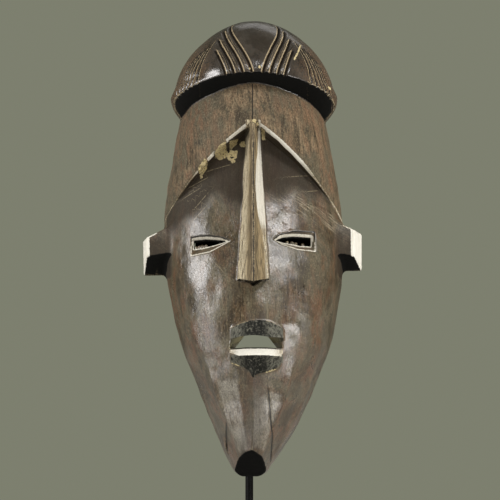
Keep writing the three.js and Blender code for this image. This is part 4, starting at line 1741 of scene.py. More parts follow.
class Bench:
    """Lays out the shader nodes of one material; a value may be a number or another node's socket."""

    def __init__(self, name: str) -> None:
        """Starts an empty material with a surface shader.

        Args:
            name: the material's name.
        """
        self.material = bpy.data.materials.new(name)
        self.material.use_nodes = True
        self.tree = self.material.node_tree
        self.shader = self.tree.nodes["Principled BSDF"]

    def node(self, kind: str, inputs: dict[str | int, object], **settings: object) -> bpy.types.Node:
        """Adds a node.

        Args:
            kind: the node's type.
            inputs: a value or a socket for each input, by name or number.
            settings: the node's plain properties.

        Returns:
            The node.
        """
        made = self.tree.nodes.new(kind)
        for name, value in settings.items():
            setattr(made, name, value)
        for name, value in inputs.items():
            self.feed(made.inputs[name], value)
        return made

    def feed(self, socket: Socket, value: object) -> None:
        """Links a socket to another one, or sets its value.

        Args:
            socket: the input.
            value: what goes into it.
        """
        if isinstance(value, Socket):
            self.tree.links.new(value, socket)
        elif isinstance(value, tuple) and len(value) == 3 and socket.type == "RGBA":
            socket.default_value = (*value, 1)
        else:
            socket.default_value = value

    def chain(self, operation: str, *values: object) -> Socket:
        """Combines several values from left to right.

        Args:
            operation: what is done with two of them, such as ADD or MULTIPLY.
            values: the values.

        Returns:
            The result.
        """
        total = values[0]
        for value in values[1:]:
            total = self.node("ShaderNodeMath", {0: total, 1: value}, operation=operation).outputs[0]
        return total

    def times(self, *values: object) -> Socket:
        """The product of several values."""
        return self.chain("MULTIPLY", *values)

    def plus(self, *values: object) -> Socket:
        """The sum of several values."""
        return self.chain("ADD", *values)

    def most(self, *values: object) -> Socket:
        """The largest of several values."""
        return self.chain("MAXIMUM", *values)

    def less(self, value: object, amount: object) -> Socket:
        """A value less an amount."""
        return self.chain("SUBTRACT", value, amount)

    def mark(self, wear: Wear) -> Socket:
        """The value of a mark on the mesh."""
        return self.node("ShaderNodeAttribute", {}, attribute_name=wear.value).outputs["Fac"]

    def place(self, scale: Triple, turn: float = 0.0) -> Socket:
        """The object's own coordinates, turned and then scaled.

        Args:
            scale: the factor along each axis.
            turn: degrees about the axis that runs to the back.

        Returns:
            The coordinates.
        """
        where = self.node("ShaderNodeTexCoord", {}).outputs["Object"]
        if turn:
            turned = {"Vector": where, "Rotation": (0, math.radians(turn), 0)}
            where = self.node("ShaderNodeMapping", turned, vector_type="POINT").outputs[0]
        scaled = {"Vector": where, "Scale": scale}
        return self.node("ShaderNodeMapping", scaled, vector_type="POINT").outputs[0]

    def noise(self, scale: Triple, detail: float = 3.0, rough: float = 0.55, turn: float = 0.0,
              warp: float = 0.0) -> Socket:
        """Cloudy noise from 0 to 1.

        Args:
            scale: patches a metre along each axis.
            detail: how many finer layers it has.
            rough: how strong those are.
            turn: degrees about the axis that runs to the back.
            warp: how much the patches are twisted.

        Returns:
            The noise.
        """
        inputs = {"Vector": self.place(scale, turn), "Scale": 1.0, "Detail": detail, "Roughness": rough}
        return self.node("ShaderNodeTexNoise", {**inputs, "Distortion": warp}).outputs["Fac"]

    def step(self, value: object, low: float, high: float) -> Socket:
        """0 below low, 1 above high, and smooth between them."""
        inputs = {"Value": value, "From Min": low, "From Max": high}
        return self.node("ShaderNodeMapRange", inputs, interpolation_type="SMOOTHSTEP").outputs["Result"]

    def band(self, value: object, middle: float, half: float, soft: float) -> Socket:
        """1 where a value lies within half of the middle, fading out over soft."""
        away = self.chain("ABSOLUTE", self.less(value, middle), 0.0)
        return self.step(away, half + soft, half)

    def span(self, value: object, low: float, high: float) -> Socket:
        """A value from 0 to 1 spread over another range."""
        inputs = {"Value": value, "To Min": low, "To Max": high}
        return self.node("ShaderNodeMapRange", inputs).outputs["Result"]

    def mix(self, share: object, a: object, b: object) -> Socket:
        """Colour b laid over colour a."""
        inputs = {"Factor": share, "A": a, "B": b}
        return self.node("ShaderNodeMix", inputs, data_type="RGBA").outputs["Result"]

    def blend(self, share: object, a: object, b: object) -> Socket:
        """Number b laid over number a."""
        inputs = {"Factor": share, "A": a, "B": b}
        return self.node("ShaderNodeMix", inputs, data_type="FLOAT").outputs["Result"]

    def bump(self, height: object, distance: float, strength: float = 1.0) -> None:
        """Gives the surface a fine relief: a height from 0 to 1, times a distance in metres."""
        inputs = {"Height": height, "Distance": distance, "Strength": strength}
        self.feed(self.shader.inputs["Normal"], self.node("ShaderNodeBump", inputs).outputs["Normal"])


class WoodBench(Bench):
    """A bench for the mask's wood, with the textures that its layers share and the colour so far."""

    def __init__(self, name: str, colour: Colour) -> None:
        """Makes the shared textures.

        Args:
            name: the material's name.
            colour: the lowest layer's colour.
        """
        super().__init__(name)
        self.grain = self.noise((1100, 1100, 60), 5, 0.65)
        self.fine = self.noise((2600, 2600, 260), 3, 0.6)
        self.speck = self.noise((900, 900, 700), 3, 0.65)
        self.colour: object = colour

    def lay(self, share: object, colour: object) -> None:
        """Lays a colour over what is there."""
        self.colour = self.mix(share, self.colour, colour)

    def frayed(self, wear: Wear, amount: float) -> Socket:
        """A mark's distance with its border made ragged by that many millimetres."""
        return self.plus(self.mark(wear), self.times(self.less(self.speck, 0.5), amount))


@dataclass(frozen=True)
class WaxedWood:
    """Old dark wood, waxed and handled, with soot, worn edges, chips and traces of white kaolin, and with
    shade, shadows, highlights and light painted into its colour.
    """

    # Dark is the darkest wood, and is also laid as painted shade in creases, under the brow and on the ears.
    dark: Colour = (0.024, 0.017, 0.010)
    brown: Colour = (0.116, 0.082, 0.043)
    olive: Colour = (0.130, 0.118, 0.076)
    red: Colour = (0.150, 0.070, 0.036)
    tan: Colour = (0.275, 0.205, 0.122)
    fleck: Colour = (0.300, 0.250, 0.170)
    # Painted highlight: the pale grey for the chin's knife facets.
    facet: Colour = (0.265, 0.245, 0.200)
    nose_light: Colour = (0.300, 0.228, 0.124)
    nose_dark: Colour = (0.070, 0.052, 0.030)
    # Black: soot, painted shade on the undersides, and painted shadow in the grooves and thin lines.
    black: Colour = (0.004, 0.004, 0.0035)
    lip: Colour = (0.008, 0.008, 0.006)
    lip_worn: Colour = (0.135, 0.132, 0.104)
    # Painted light: the pale olive laid on the mouth slot's inner walls.
    mouth: Colour = (0.260, 0.235, 0.130)
    crest_dark: Colour = (0.016, 0.0145, 0.0125)
    crest_worn: Colour = (0.040, 0.036, 0.031)
    worn: Colour = (0.420, 0.340, 0.210)
    cream: Colour = (0.620, 0.540, 0.380)
    bare: Colour = (0.580, 0.490, 0.250)
    white: Colour = (0.700, 0.680, 0.605)
    stale: Colour = (0.460, 0.390, 0.250)
    hollow: Colour = (0.085, 0.052, 0.030)
    waxed_gloss: float = 0.8
    dry_gloss: float = 0.1
    dry_roughness: float = 0.85
    relief: float = 0.0010

    def material(self) -> Material:
        """Makes the shader, layer by layer.

        Returns:
            The material.
        """
        b = WoodBench("waxed_wood", self.dark)
        for layer in (self.bare_wood, self.nose, self.crest, self.darkened, self.paled):
            layer(b)
        b.feed(b.shader.inputs["Base Color"], b.colour)
        self.polish(b)
        return b.material

    def bare_wood(self, b: WoodBench) -> None:
        """The wood's own colour: streaky brown, with olive clouds, reddish sides and a tan forehead, and a
        painted highlight on the chin's knife facets.

        Args:
            b: the wood's bench.
        """
        cloud = b.noise((45, 45, 30), 5, 0.62, warp=0.8)
        patch = b.noise((75, 75, 36), 5, 0.65, warp=0.8)
        slant = b.noise((1500, 1500, 110), 3, 0.6, turn=16)
        smeared = b.noise((300, 300, 42), 4, 0.62, turn=10)
        side, forehead = b.mark(Wear.SIDE), b.mark(Wear.FOREHEAD)
        b.lay(b.step(b.grain, 0.36, 0.66), self.brown)
        b.lay(b.times(b.step(cloud, 0.42, 0.6), 0.7), self.olive)
        b.lay(b.times(forehead, b.step(cloud, 0.66, 0.38), b.step(smeared, 0.38, 0.6), 0.9), self.tan)
        middle = b.times(forehead, b.span(side, 0.3, 0.0), b.step(cloud, 0.3, 0.55))
        b.lay(b.times(middle, 0.75), b.mix(0.4, self.olive, self.dark))
        reddish = b.times(b.step(patch, 0.42, 0.6), b.span(side, 0.55, 1.0), b.step(smeared, 0.36, 0.6))
        b.lay(b.times(reddish, 0.75), self.red)
        b.lay(b.times(b.step(patch, 0.52, 0.34), 0.6), self.dark)
        b.lay(b.times(b.step(slant, 0.56, 0.7), b.step(b.fine, 0.5, 0.62), 0.55), self.fleck)
        scraped = b.step(b.noise((45, 45, 1500), 2, 0.5, turn=-35), 0.54, 0.64)
        crossed = b.step(b.noise((60, 60, 1400), 2, 0.5, turn=-22), 0.6, 0.68)
        b.lay(b.times(b.mark(Wear.SCRAPED), b.most(scraped, crossed), 0.8), self.fleck)
        # Painted highlight: pale grey on the chin's knife facets.
        b.lay(b.times(b.mark(Wear.FACET), b.step(smeared, 0.3, 0.56), 0.7), self.facet)
        b.lay(b.times(b.step(b.speck, 0.5, 0.62), 0.5), self.dark)
        b.lay(b.times(b.step(b.speck, 0.44, 0.34), 0.3), self.fleck)
        b.lay(b.times(b.step(b.fine, 0.5, 0.64), 0.6), self.dark)

    def nose(self, b: WoodBench) -> None:
        """Lays on the nose's paler, strongly grained wood.

        Args:
            b: the wood's bench.
        """
        streak = b.noise((850, 850, 52), 4, 0.68)
        across = b.mark(Wear.ACROSS_NOSE)
        wood = b.mix(b.step(streak, 0.4, 0.54), self.nose_dark, self.nose_light)
        left_edge = b.times(b.step(across, -0.25, -0.75), b.step(streak, 0.4, 0.52))
        wood = b.mix(b.times(left_edge, b.step(b.speck, 0.34, 0.5)), wood, self.cream)
        shaded = b.times(b.band(across, -0.02, 0.2, 0.25), b.step(streak, 0.66, 0.48), 0.85)
        wood = b.mix(shaded, wood, self.nose_dark)
        wood = b.mix(b.times(b.step(across, 0.74, 0.9), 0.6), wood, b.mix(0.4, self.white, self.lip_worn))
        b.lay(b.times(b.mark(Wear.NOSE), 0.95), wood)

    def crest(self, b: WoodBench) -> None:
        """Darkens the crest, paints black shadows along the outer sides of its grooves, and lays pale worn
        rims along its strands.

        Args:
            b: the wood's bench.
        """
        cloud = b.noise((90, 90, 60), 3, 0.6)
        hair = b.mix(b.step(cloud, 0.38, 0.66), self.crest_dark, self.crest_worn)
        on_crest = b.mark(Wear.CREST)
        b.lay(b.times(on_crest, 0.93), hair)
        ends = b.times(on_crest, b.span(b.mark(Wear.SIDE), 0.1, 1.0), b.step(b.speck, 0.35, 0.6), 0.7)
        b.lay(ends, b.mix(0.35, self.red, self.tan))
        pale = b.mix(b.speck, self.worn, self.tan)
        cuts = (Wear.STRAND, Wear.STRAND_CUT, 1.3, 0.95), (Wear.LOCK, Wear.LOCK_CUT, 0.7, 0.8)
        for line, cut_there, reach, rim in cuts:
            distance, shown = b.mark(line), b.step(b.mark(cut_there), 0.15, 0.6)
            # Painted shadow: black along each groove's outer side, under the strand's raised edge.
            groove = b.times(b.step(distance, -0.4, 0.1), b.step(distance, reach + 0.5, reach - 0.4), shown)
            b.lay(b.times(groove, 0.95), self.black)
            crown = b.times(b.band(distance, -rim, 0.3 * rim, 0.4 * rim), shown)
            b.lay(b.times(crown, b.step(b.speck, 0.28, 0.46)), pale)

    def darkened(self, b: WoodBench) -> None:
        """Lays on the hollow's brown, painted shade and grime, blackened lips, painted light in the mouth
        slot, soot and painted shade on the undersides, and dark lines, some of them painted shadows.

        Args:
            b: the wood's bench.
        """
        b.lay(b.mark(Wear.INSIDE), b.mix(b.step(b.grain, 0.3, 0.7), self.dark, self.hollow))
        # Painted shade in creases and hollows, laid together with the painted shade and grime of grime.
        crease_shade = b.step(b.plus(b.mark(Wear.CAVITY), b.times(b.speck, 0.2)), 0.5, 1.05)
        b.lay(b.times(b.most(crease_shade, b.mark(Wear.GRIME)), 0.82), self.dark)
        streak = b.noise((640, 640, 110), 3, 0.7)
        rubbed = b.times(b.mark(Wear.LIP_ENDS), b.step(streak, 0.36, 0.58), 0.9)
        rubbed = b.most(rubbed, b.times(b.step(streak, 0.5, 0.66), 0.75))
        b.lay(b.step(b.frayed(Wear.STAIN, 0.8), -0.3, 0.4), b.mix(rubbed, self.lip, self.lip_worn))
        # Painted light: the mouth slot's walls turn pale olive towards the back.
        b.lay(b.times(b.mark(Wear.MOUTH), 0.9), self.mouth)
        # Soot, with painted shade on the undersides, the chin's end cut and the eye slits' deep walls.
        b.lay(b.step(b.mark(Wear.SOOT), 0.3, 0.7), self.black)
        # Dark lines: cracks and ridges, and painted shadows at the eyes' upper edges and under the mouth's
        # gap.
        b.lay(b.times(b.band(b.mark(Wear.LINE), 0, 0.3, 0.35), 0.9), self.black)

    def paled(self, b: WoodBench) -> None:
        """Lays on worn edges, scratches, the crest's worn rim, a painted highlight on the upper lip's edge,
        bare chips and white paint.

        Args:
            b: the wood's bench.
        """
        unstained = b.step(b.mark(Wear.STAIN), 0.5, -1.5)
        edge = b.times(b.step(b.mark(Wear.EDGE), 0.3, 0.75), b.step(b.speck, 0.45, 0.6))
        b.lay(b.times(edge, unstained, 0.55), self.worn)
        scratch = b.times(b.band(b.mark(Wear.SCRATCH), 0, 0.12, 0.35), b.step(b.speck, 0.35, 0.55), 0.55)
        b.lay(scratch, b.mix(0.5, self.worn, self.olive))
        # The crest's worn rim, and a painted highlight along the upper lip's edge.
        b.lay(b.times(b.band(b.mark(Wear.RIM), 0, 0.2, 0.35), b.step(b.speck, 0.42, 0.6), 0.6), self.worn)
        pitted = b.mix(b.step(b.fine, 0.4, 0.6), self.bare, self.worn)
        pitted = b.mix(b.step(b.speck, 0.36, 0.46), self.nose_dark, pitted)
        b.lay(b.step(b.frayed(Wear.RAW, 1.6), 0.0, 0.3), pitted)
        clean = b.mix(b.step(b.grain, 0.45, 0.8), self.white, b.mix(0.5, self.white, self.stale))
        dulled = b.times(b.mark(Wear.DULL), b.step(b.plus(b.speck, b.times(b.grain, 0.4)), 0.45, 0.75))
        paint = b.mix(dulled, clean, b.mix(b.step(b.grain, 0.4, 0.6), self.stale, self.brown))
        b.lay(b.step(b.frayed(Wear.KAOLIN, 1.3), -0.05, 0.25), paint)

    def polish(self, b: WoodBench) -> None:
        """Sets roughness and fine relief: waxed on the outside, dry where painted, chipped or hollow.

        Args:
            b: the wood's bench.
        """
        smear = b.noise((60, 60, 44), 4, 0.6)
        waxed = b.plus(b.times(b.grain, 0.08), b.times(smear, 0.34), 0.1)
        waxed = b.less(waxed, b.times(b.mark(Wear.CREST), 0.08))
        strand = b.mark(Wear.STRAND)
        grooved = b.times(b.step(strand, -1.5, -0.6), b.step(strand, 2.4, 1.4))
        dry = b.most(
            b.step(b.mark(Wear.KAOLIN), 0.0, 0.3),
            b.step(b.mark(Wear.RAW), 0.0, 0.3),
            b.mark(Wear.INSIDE),
            b.step(b.mark(Wear.SOOT), 0.3, 0.7),
            b.times(b.mark(Wear.NOSE), 0.6),
            b.times(grooved, b.step(b.mark(Wear.STRAND_CUT), 0.15, 0.6)),
            b.times(b.step(b.mark(Wear.STAIN), -0.3, 0.4), 0.75),
            b.times(b.mark(Wear.GRIME), 0.7),
            b.times(b.mark(Wear.FOREHEAD), 0.75),
        )
        b.feed(b.shader.inputs["Roughness"], b.blend(dry, waxed, self.dry_roughness))
        b.feed(b.shader.inputs["Specular IOR Level"], b.blend(dry, self.waxed_gloss, self.dry_gloss))
        adzed = b.noise((150, 150, 115), 4, 0.5)
        pitted = b.times(b.speck, b.span(b.mark(Wear.CREST), 0.13, 0.03))
        height = b.plus(b.times(b.grain, 0.07), b.times(b.fine, 0.03), pitted, b.times(adzed, 0.5))
        b.bump(height, self.relief)


@dataclass(frozen=True)
class BlackSteel:
    """Satin black paint on steel, with faint brush texture and rubbed spots."""

    colour: Colour = (0.002, 0.002, 0.0018)
    rubbed: Colour = (0.005, 0.005, 0.0045)
    gloss: float = 0.1
    roughness: Pair = (0.45, 0.62)

    def material(self) -> Material:
        """Makes the shader.

        Returns:
            The material.
        """
        b = Bench("black_steel")
        cloud = b.noise((60, 60, 60), 3, 0.6)
        b.feed(b.shader.inputs["Base Color"], b.mix(b.step(cloud, 0.5, 0.75), self.colour, self.rubbed))
        b.feed(b.shader.inputs["Roughness"], b.span(b.noise((180, 180, 180), 3, 0.6), *self.roughness))
        b.shader.inputs["Specular IOR Level"].default_value = self.gloss
        b.bump(b.noise((1600, 1600, 1600), 3, 0.6), 0.0002, 0.5)
        return b.material


@dataclass(frozen=True)
class BlackFelt:
    """Matte black felt with matted fibres."""

    colour: Colour = (0.012, 0.012, 0.012)
    fuzz: Colour = (0.040, 0.039, 0.037)
    roughness: float = 0.95
    sheen: float = 0.4

    def material(self) -> Material:
        """Makes the shader.

        Returns:
            The material.
        """
        b = Bench("black_felt")
        fibre = b.noise((3200, 900, 2600), 4, 0.7, warp=1.2)
        b.feed(b.shader.inputs["Base Color"], b.mix(b.step(fibre, 0.45, 0.7), self.colour, self.fuzz))
        b.shader.inputs["Roughness"].default_value = self.roughness
        b.shader.inputs["Sheen Weight"].default_value = self.sheen
        b.bump(fibre, 0.0006, 0.8)
        return b.material


@dataclass(frozen=True)
class StudioPaint:
    """The matt paint of the studio's floor."""

    colour: Colour = (0.46, 0.45, 0.42)
    shade: float = 0.93
    roughness: float = 0.9

    def material(self) -> Material:
        """Makes the shader.

        Returns:
            The material.
        """
        b = Bench("studio_floor")
        shaded = tuple(part * self.shade for part in self.colour)
        b.feed(b.shader.inputs["Base Color"], b.mix(b.noise((3, 3, 3), 3, 0.5), shaded, self.colour))
        b.shader.inputs["Roughness"].default_value = self.roughness
        return b.material


# Pieces


def put(name: str, data: bpy.types.ID) -> bpy.types.Object:
    """Puts a new object in the scene.

    Args:
        name: its name.
        data: its mesh, lamp or camera.

    Returns:
        The object.
    """
    made = bpy.data.objects.new(name, data)
    bpy.context.scene.collection.objects.link(made)
    return made


def add_piece(name: str, mesh: Mesh, finish: Material, node: str) -> bpy.types.Object:
    """Puts a finished mesh in the scene as a piece of the object.

    Args:
        name: the piece's name.
        mesh: its mesh, in metres, in the frame's axes.
        finish: its material.
        node: the CAD node that it stands for.

    Returns:
        The new object.
    """
    piece = put(name, mesh)
    mesh.materials.clear()
    mesh.materials.append(finish)
    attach(piece, "root")
    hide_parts(node)
    LOG.info("%s: %d vertices, %d faces", name, len(mesh.vertices), len(mesh.polygons))
    return piece


@dataclass
class Mask:
    """The carved mask as one fine mesh."""

    finish: WaxedWood = WaxedWood()
    form: MaskForm = MaskForm()
    triangles: int = 190_000
    back_left: float = 85.1
    grid_step: float = 0.9
    importance_factor: float = 0.3

    def origin(self) -> Vector:
        """Where the mask's own axes start, in metres, from the box of its CAD node."""
        low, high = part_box("mask")
        return Vector((low.x + self.back_left * MM, high.y, low.z))

    def to_frame(self, rows: Array) -> Array:
        """Turns x, f, h in millimetres into the frame's metres."""
        return np.array(self.origin()) + np.stack([rows[:, 0], -rows[:, 1], rows[:, 2]], 1) * MM

    def from_frame(self, rows: Array) -> Array:
        """Turns the frame's metres into x, f, h in millimetres."""
        moved = (rows - np.array(self.origin())) / MM
        return np.stack([moved[:, 0], -moved[:, 1], moved[:, 2]], 1)

    def raw_mesh(self, vertices: Array, quads: Array) -> Mesh:
        """Makes a mesh of quads from x, f, h rows.

        Args:
            vertices: rows of x, f, h.
            quads: rows of four vertex numbers.

        Returns:
            The mesh, in metres.
        """
        mesh = bpy.data.meshes.new("mask_full")
        mesh.vertices.add(len(vertices))
        mesh.vertices.foreach_set("co", self.to_frame(vertices).ravel())
        mesh.loops.add(quads.size)
        mesh.loops.foreach_set("vertex_index", quads.ravel().astype(np.int32))
        mesh.polygons.add(len(quads))
        mesh.polygons.foreach_set("loop_start", np.arange(0, quads.size, 4, dtype=np.int32))
        mesh.update(calc_edges=True)
        mesh.validate()
        return mesh

    def thinned(self, full: Mesh, importance: Array) -> Mesh:
        """Thins a mesh out by shape to the wanted number of triangles, keeping important places fine.

        Args:
            full: the mesh, which is deleted.
            importance: a share from 0 to 1 for each vertex.

        Returns:
            The thinned mesh.
        """
        holder = put("mask_full", full)
        group = holder.vertex_groups.new(name="importance")
        levels = np.round(importance * 4) / 4
        for level in np.unique(levels):
            group.add(np.flatnonzero(levels == level).tolist(), float(level), "REPLACE")
        thin = holder.modifiers.new("thin", "DECIMATE")
        thin.ratio = min(1.0, self.triangles / (2 * len(full.polygons)))
        thin.vertex_group = group.name
        thin.invert_vertex_group = True
        thin.vertex_group_factor = self.importance_factor
        graph = bpy.context.evaluated_depsgraph_get()
        mesh = bpy.data.meshes.new_from_object(holder.evaluated_get(graph))
        bpy.data.objects.remove(holder)
        bpy.data.meshes.remove(full)
        return mesh

    def build(self) -> bpy.types.Object:
        """Makes the mask's mesh, marks and material.

        Returns:
            The mask's object.
        """
        mesher = Mesher(self.form, step=self.grid_step)
        vertices, quads = mesher.net(mesher.grid())
        LOG.info("mask: %d quads drawn", len(quads))
        vertices, normal = mesher.settle(vertices)
        importance = Marks(self.form, Points.of(vertices), normal).importance()
        LOG.info("mask: %d of %d vertices matter", (importance > 0.5).sum(), len(vertices))
        mesh = self.thinned(self.raw_mesh(vertices, quads), importance)
        mesh.name = "carved_mask"
        rows = np.empty(len(mesh.vertices) * 3)
        mesh.vertices.foreach_get("co", rows)
        rows, normal = mesher.settle(self.from_frame(rows.reshape(-1, 3)), 1)
        mesh.vertices.foreach_set("co", self.to_frame(rows).ravel())
        marks = Marks(self.form, Points.of(rows), normal)
        for wear, values in (marks.fine() | marks.broad()).items():
            layer = mesh.attributes.new(wear.value, "FLOAT", "POINT")
            layer.data.foreach_set("value", values.astype(np.float32))
        mesh.shade_smooth()
        mesh.update()
        return add_piece("carved_mask", mesh, self.finish.material(), "mask")


# Studio


@dataclass(frozen=True)
class SoftLight:
    """A soft lamp aimed at the mask, placed by its bearing as the camera sees the mask."""

    name: str
    azimuth: float
    elevation: float
    distance: float
    size: Pair
    power: float
    mirrored: bool = True
    spread: float = 180.0
    colour: Colour = (1.0, 0.98, 0.97)

    def add(self, target: Vector) -> None:
        """Puts the lamp in the scene.

        Args:
            target: the place it is aimed at.
        """
        lamp = bpy.data.lights.new(self.name, "AREA")
        lamp.shape = "RECTANGLE"
        lamp.size, lamp.size_y = self.size
        lamp.energy = self.power
        lamp.spread = math.radians(self.spread)
        lamp.color = self.colour
        piece = put(self.name, lamp)
        piece.visible_glossy = self.mirrored
        azimuth, elevation = math.radians(self.azimuth), math.radians(self.elevation)
        level = math.cos(elevation)
        away = Vector((math.sin(azimuth) * level, -math.cos(azimuth) * level, math.sin(elevation)))
        piece.location = target + away * self.distance
        piece.rotation_euler = (-away).to_track_quat("-Z", "Y").to_euler()


@dataclass(frozen=True)
class Studio:
    """The camera, floor, backdrop colour and lamps."""

    camera_place: Triple = (0.00055, -1.50016, 0.06949)
    camera_pitch: float = 98.0
    lens: float = 144.0
    sensor: float = 36.0
    floor_half: float = 2.2
    backdrop: Colour = (0.205, 0.213, 0.158)
    ambient: float = 0.4
    aim_above_middle: float = 0.06
    lights: tuple[SoftLight, ...] = (
        SoftLight("left_key", -64, 15, 2.72, (1.1, 1.02), 49),
        SoftLight("right_key", 20, 33, 2.72, (0.94, 0.51), 36),
        SoftLight("right_fill", 50, 6, 2.88, (1.92, 1.28), 12.8, mirrored=False),
        SoftLight("left_low", -72, -16, 0.75, (0.5, 0.12), 0.4, spread=110),
        SoftLight("right_low", 42, -16, 0.75, (0.4, 0.12), 0.8, spread=110),
        SoftLight("right_side", 80, 14, 2.72, (1.36, 1.36), 32, mirrored=False),
        SoftLight("top_soft", 0, 75, 2.4, (1.92, 1.6), 15, mirrored=False),
        SoftLight("top_sheen", 165, 50, 2.56, (1.6, 0.64), 2.6),
        SoftLight("back_left", -150, 20, 3.0, (1.5, 1.2), 16, mirrored=False),
        SoftLight("back_right", 150, 20, 3.0, (1.5, 1.2), 16, mirrored=False),
    )

    def add_camera(self) -> None:
        """Puts the camera at the photograph's viewing angle: low, looking slightly up."""
        camera = bpy.data.cameras.new("camera")
        camera.lens = self.lens
        camera.sensor_width = self.sensor
        piece = put("camera", camera)
        piece.location = self.camera_place
        piece.rotation_euler = (math.radians(self.camera_pitch), 0, 0)
        bpy.context.scene.camera = piece

    def add_floor(self) -> None:
        """Lays the plain pale floor."""
        half = self.floor_half
        corners = [(-half, -half, 0), (half, -half, 0), (half, half, 0), (-half, half, 0)]
        mesh = bpy.data.meshes.new("floor")
        mesh.from_pydata(corners, [], [(0, 1, 2, 3)])
        mesh.materials.append(StudioPaint().material())
        put("floor", mesh)

    def add_world(self) -> None:
        """Fills the room with the backdrop's muted colour and a weak light of its own."""
        world = bpy.data.worlds.new("room")
        world.use_nodes = True
        bpy.context.scene.world = world
        nodes, links = world.node_tree.nodes, world.node_tree.links
        nodes.clear()
        path, mix = nodes.new("ShaderNodeLightPath"), nodes.new("ShaderNodeMixShader")
        links.new(path.outputs["Is Camera Ray"], mix.inputs[0])
        for strength, goal in ((self.ambient, mix.inputs[1]), (1.0, mix.inputs[2])):
            shade = nodes.new("ShaderNodeBackground")
            shade.inputs["Color"].default_value = (*self.backdrop, 1)
            shade.inputs["Strength"].default_value = strength
            links.new(shade.outputs[0], goal)
        links.new(mix.outputs[0], nodes.new("ShaderNodeOutputWorld").inputs[0])

    def build(self) -> None:
        """Sets the studio up around the object."""
        bpy.context.scene.view_settings.view_transform = "Standard"
        self.add_camera()
        self.add_floor()
        self.add_world()
        low, high = CAD_BOX
        target = (low + high) / 2 + Vector((0, 0, self.aim_above_middle))
        for light in self.lights:
            light.add(target)
        LOG.info("studio: camera, floor and %d lamps", len(self.lights))


def spline(corners: Sequence[Triple], count: int) -> Array:
    """Places along a smooth curve through corners.

    Args:
        corners: places that the curve passes through, in order.
        count: how many places to return.

    Returns:
        Rows of x, y, z in the corners' units.
    """
    rows = np.array(corners, float)
    rows = np.vstack([2 * rows[0] - rows[1], rows, 2 * rows[-1] - rows[-2]])
    knots = np.concatenate([[0], np.cumsum(np.sqrt(np.linalg.norm(np.diff(rows, axis=0), axis=1)))])
    places = []
    for t in np.linspace(knots[1], knots[-2], count):
        i = int(np.clip(np.searchsorted(knots, t, "right") - 1, 1, len(rows) - 3))
        t0, t1, t2, t3 = knots[i - 1 : i + 3]
        near = (i - 1, i, i + 1)
        a, b, c = (
            rows[j] + (rows[j + 1] - rows[j]) * (t - knots[j]) / (knots[j + 1] - knots[j]) for j in near
        )
        ab = a + (b - a) * (t - t0) / (t2 - t0)
        bc = b + (c - b) * (t - t1) / (t3 - t1)
        places.append(ab + (bc - ab) * (t - t1) / (t2 - t1))
    return np.array(places)


def lofted(name: str, rings: Sequence[Array]) -> Mesh:
    """A closed mesh through rings of points.

    Args:
        name: the mesh's name.
        rings: arrays of x, y, z rows in metres, all of one length.

    Returns:
        The mesh, smooth along its sides.
    """
    count = len(rings[0])
    faces = [
        (i * count + j, i * count + (j + 1) % count, (i + 1) * count + (j + 1) % count, (i + 1) * count + j)
        for i in range(len(rings) - 1)
        for j in range(count)
    ]
    last = (len(rings) - 1) * count
    caps = [tuple(range(count - 1, -1, -1)), tuple(range(last, last + count))]
    mesh = bpy.data.meshes.new(name)
    mesh.from_pydata(np.concatenate(rings).tolist(), [], faces + caps)
    mesh.shade_smooth()
    for cap in mesh.polygons[-len(caps) :]:
        cap.use_smooth = False
    shape = bmesh.new()
    shape.from_mesh(mesh)
    bmesh.ops.recalc_face_normals(shape, faces=shape.faces)
    shape.to_mesh(mesh)
    shape.free()
    return mesh


def swept(name: str, path: Array, radii: Array, sides: int) -> Mesh:
    """A round bar along a path.

    Args:
        name: the mesh's name.
        path: rows of x, y, z in metres.
        radii: the bar's radius at each row, in metres.
        sides: how many points go round it.

    Returns:
        The closed mesh.
    """
    along = np.gradient(path, axis=0)
    along /= np.linalg.norm(along, axis=1)[:, None]
    turn = np.linspace(0, 2 * np.pi, sides, endpoint=False)[:, None]
    side = np.array((0.3, 1.0, 0.2))
    rings = []
    for place, ahead, radius in zip(path, along, radii):
        side = side - ahead * (side @ ahead)
        side /= np.linalg.norm(side)
        rings.append(place + radius * (np.cos(turn) * side + np.sin(turn) * np.cross(ahead, side)))
    return lofted(name, rings)


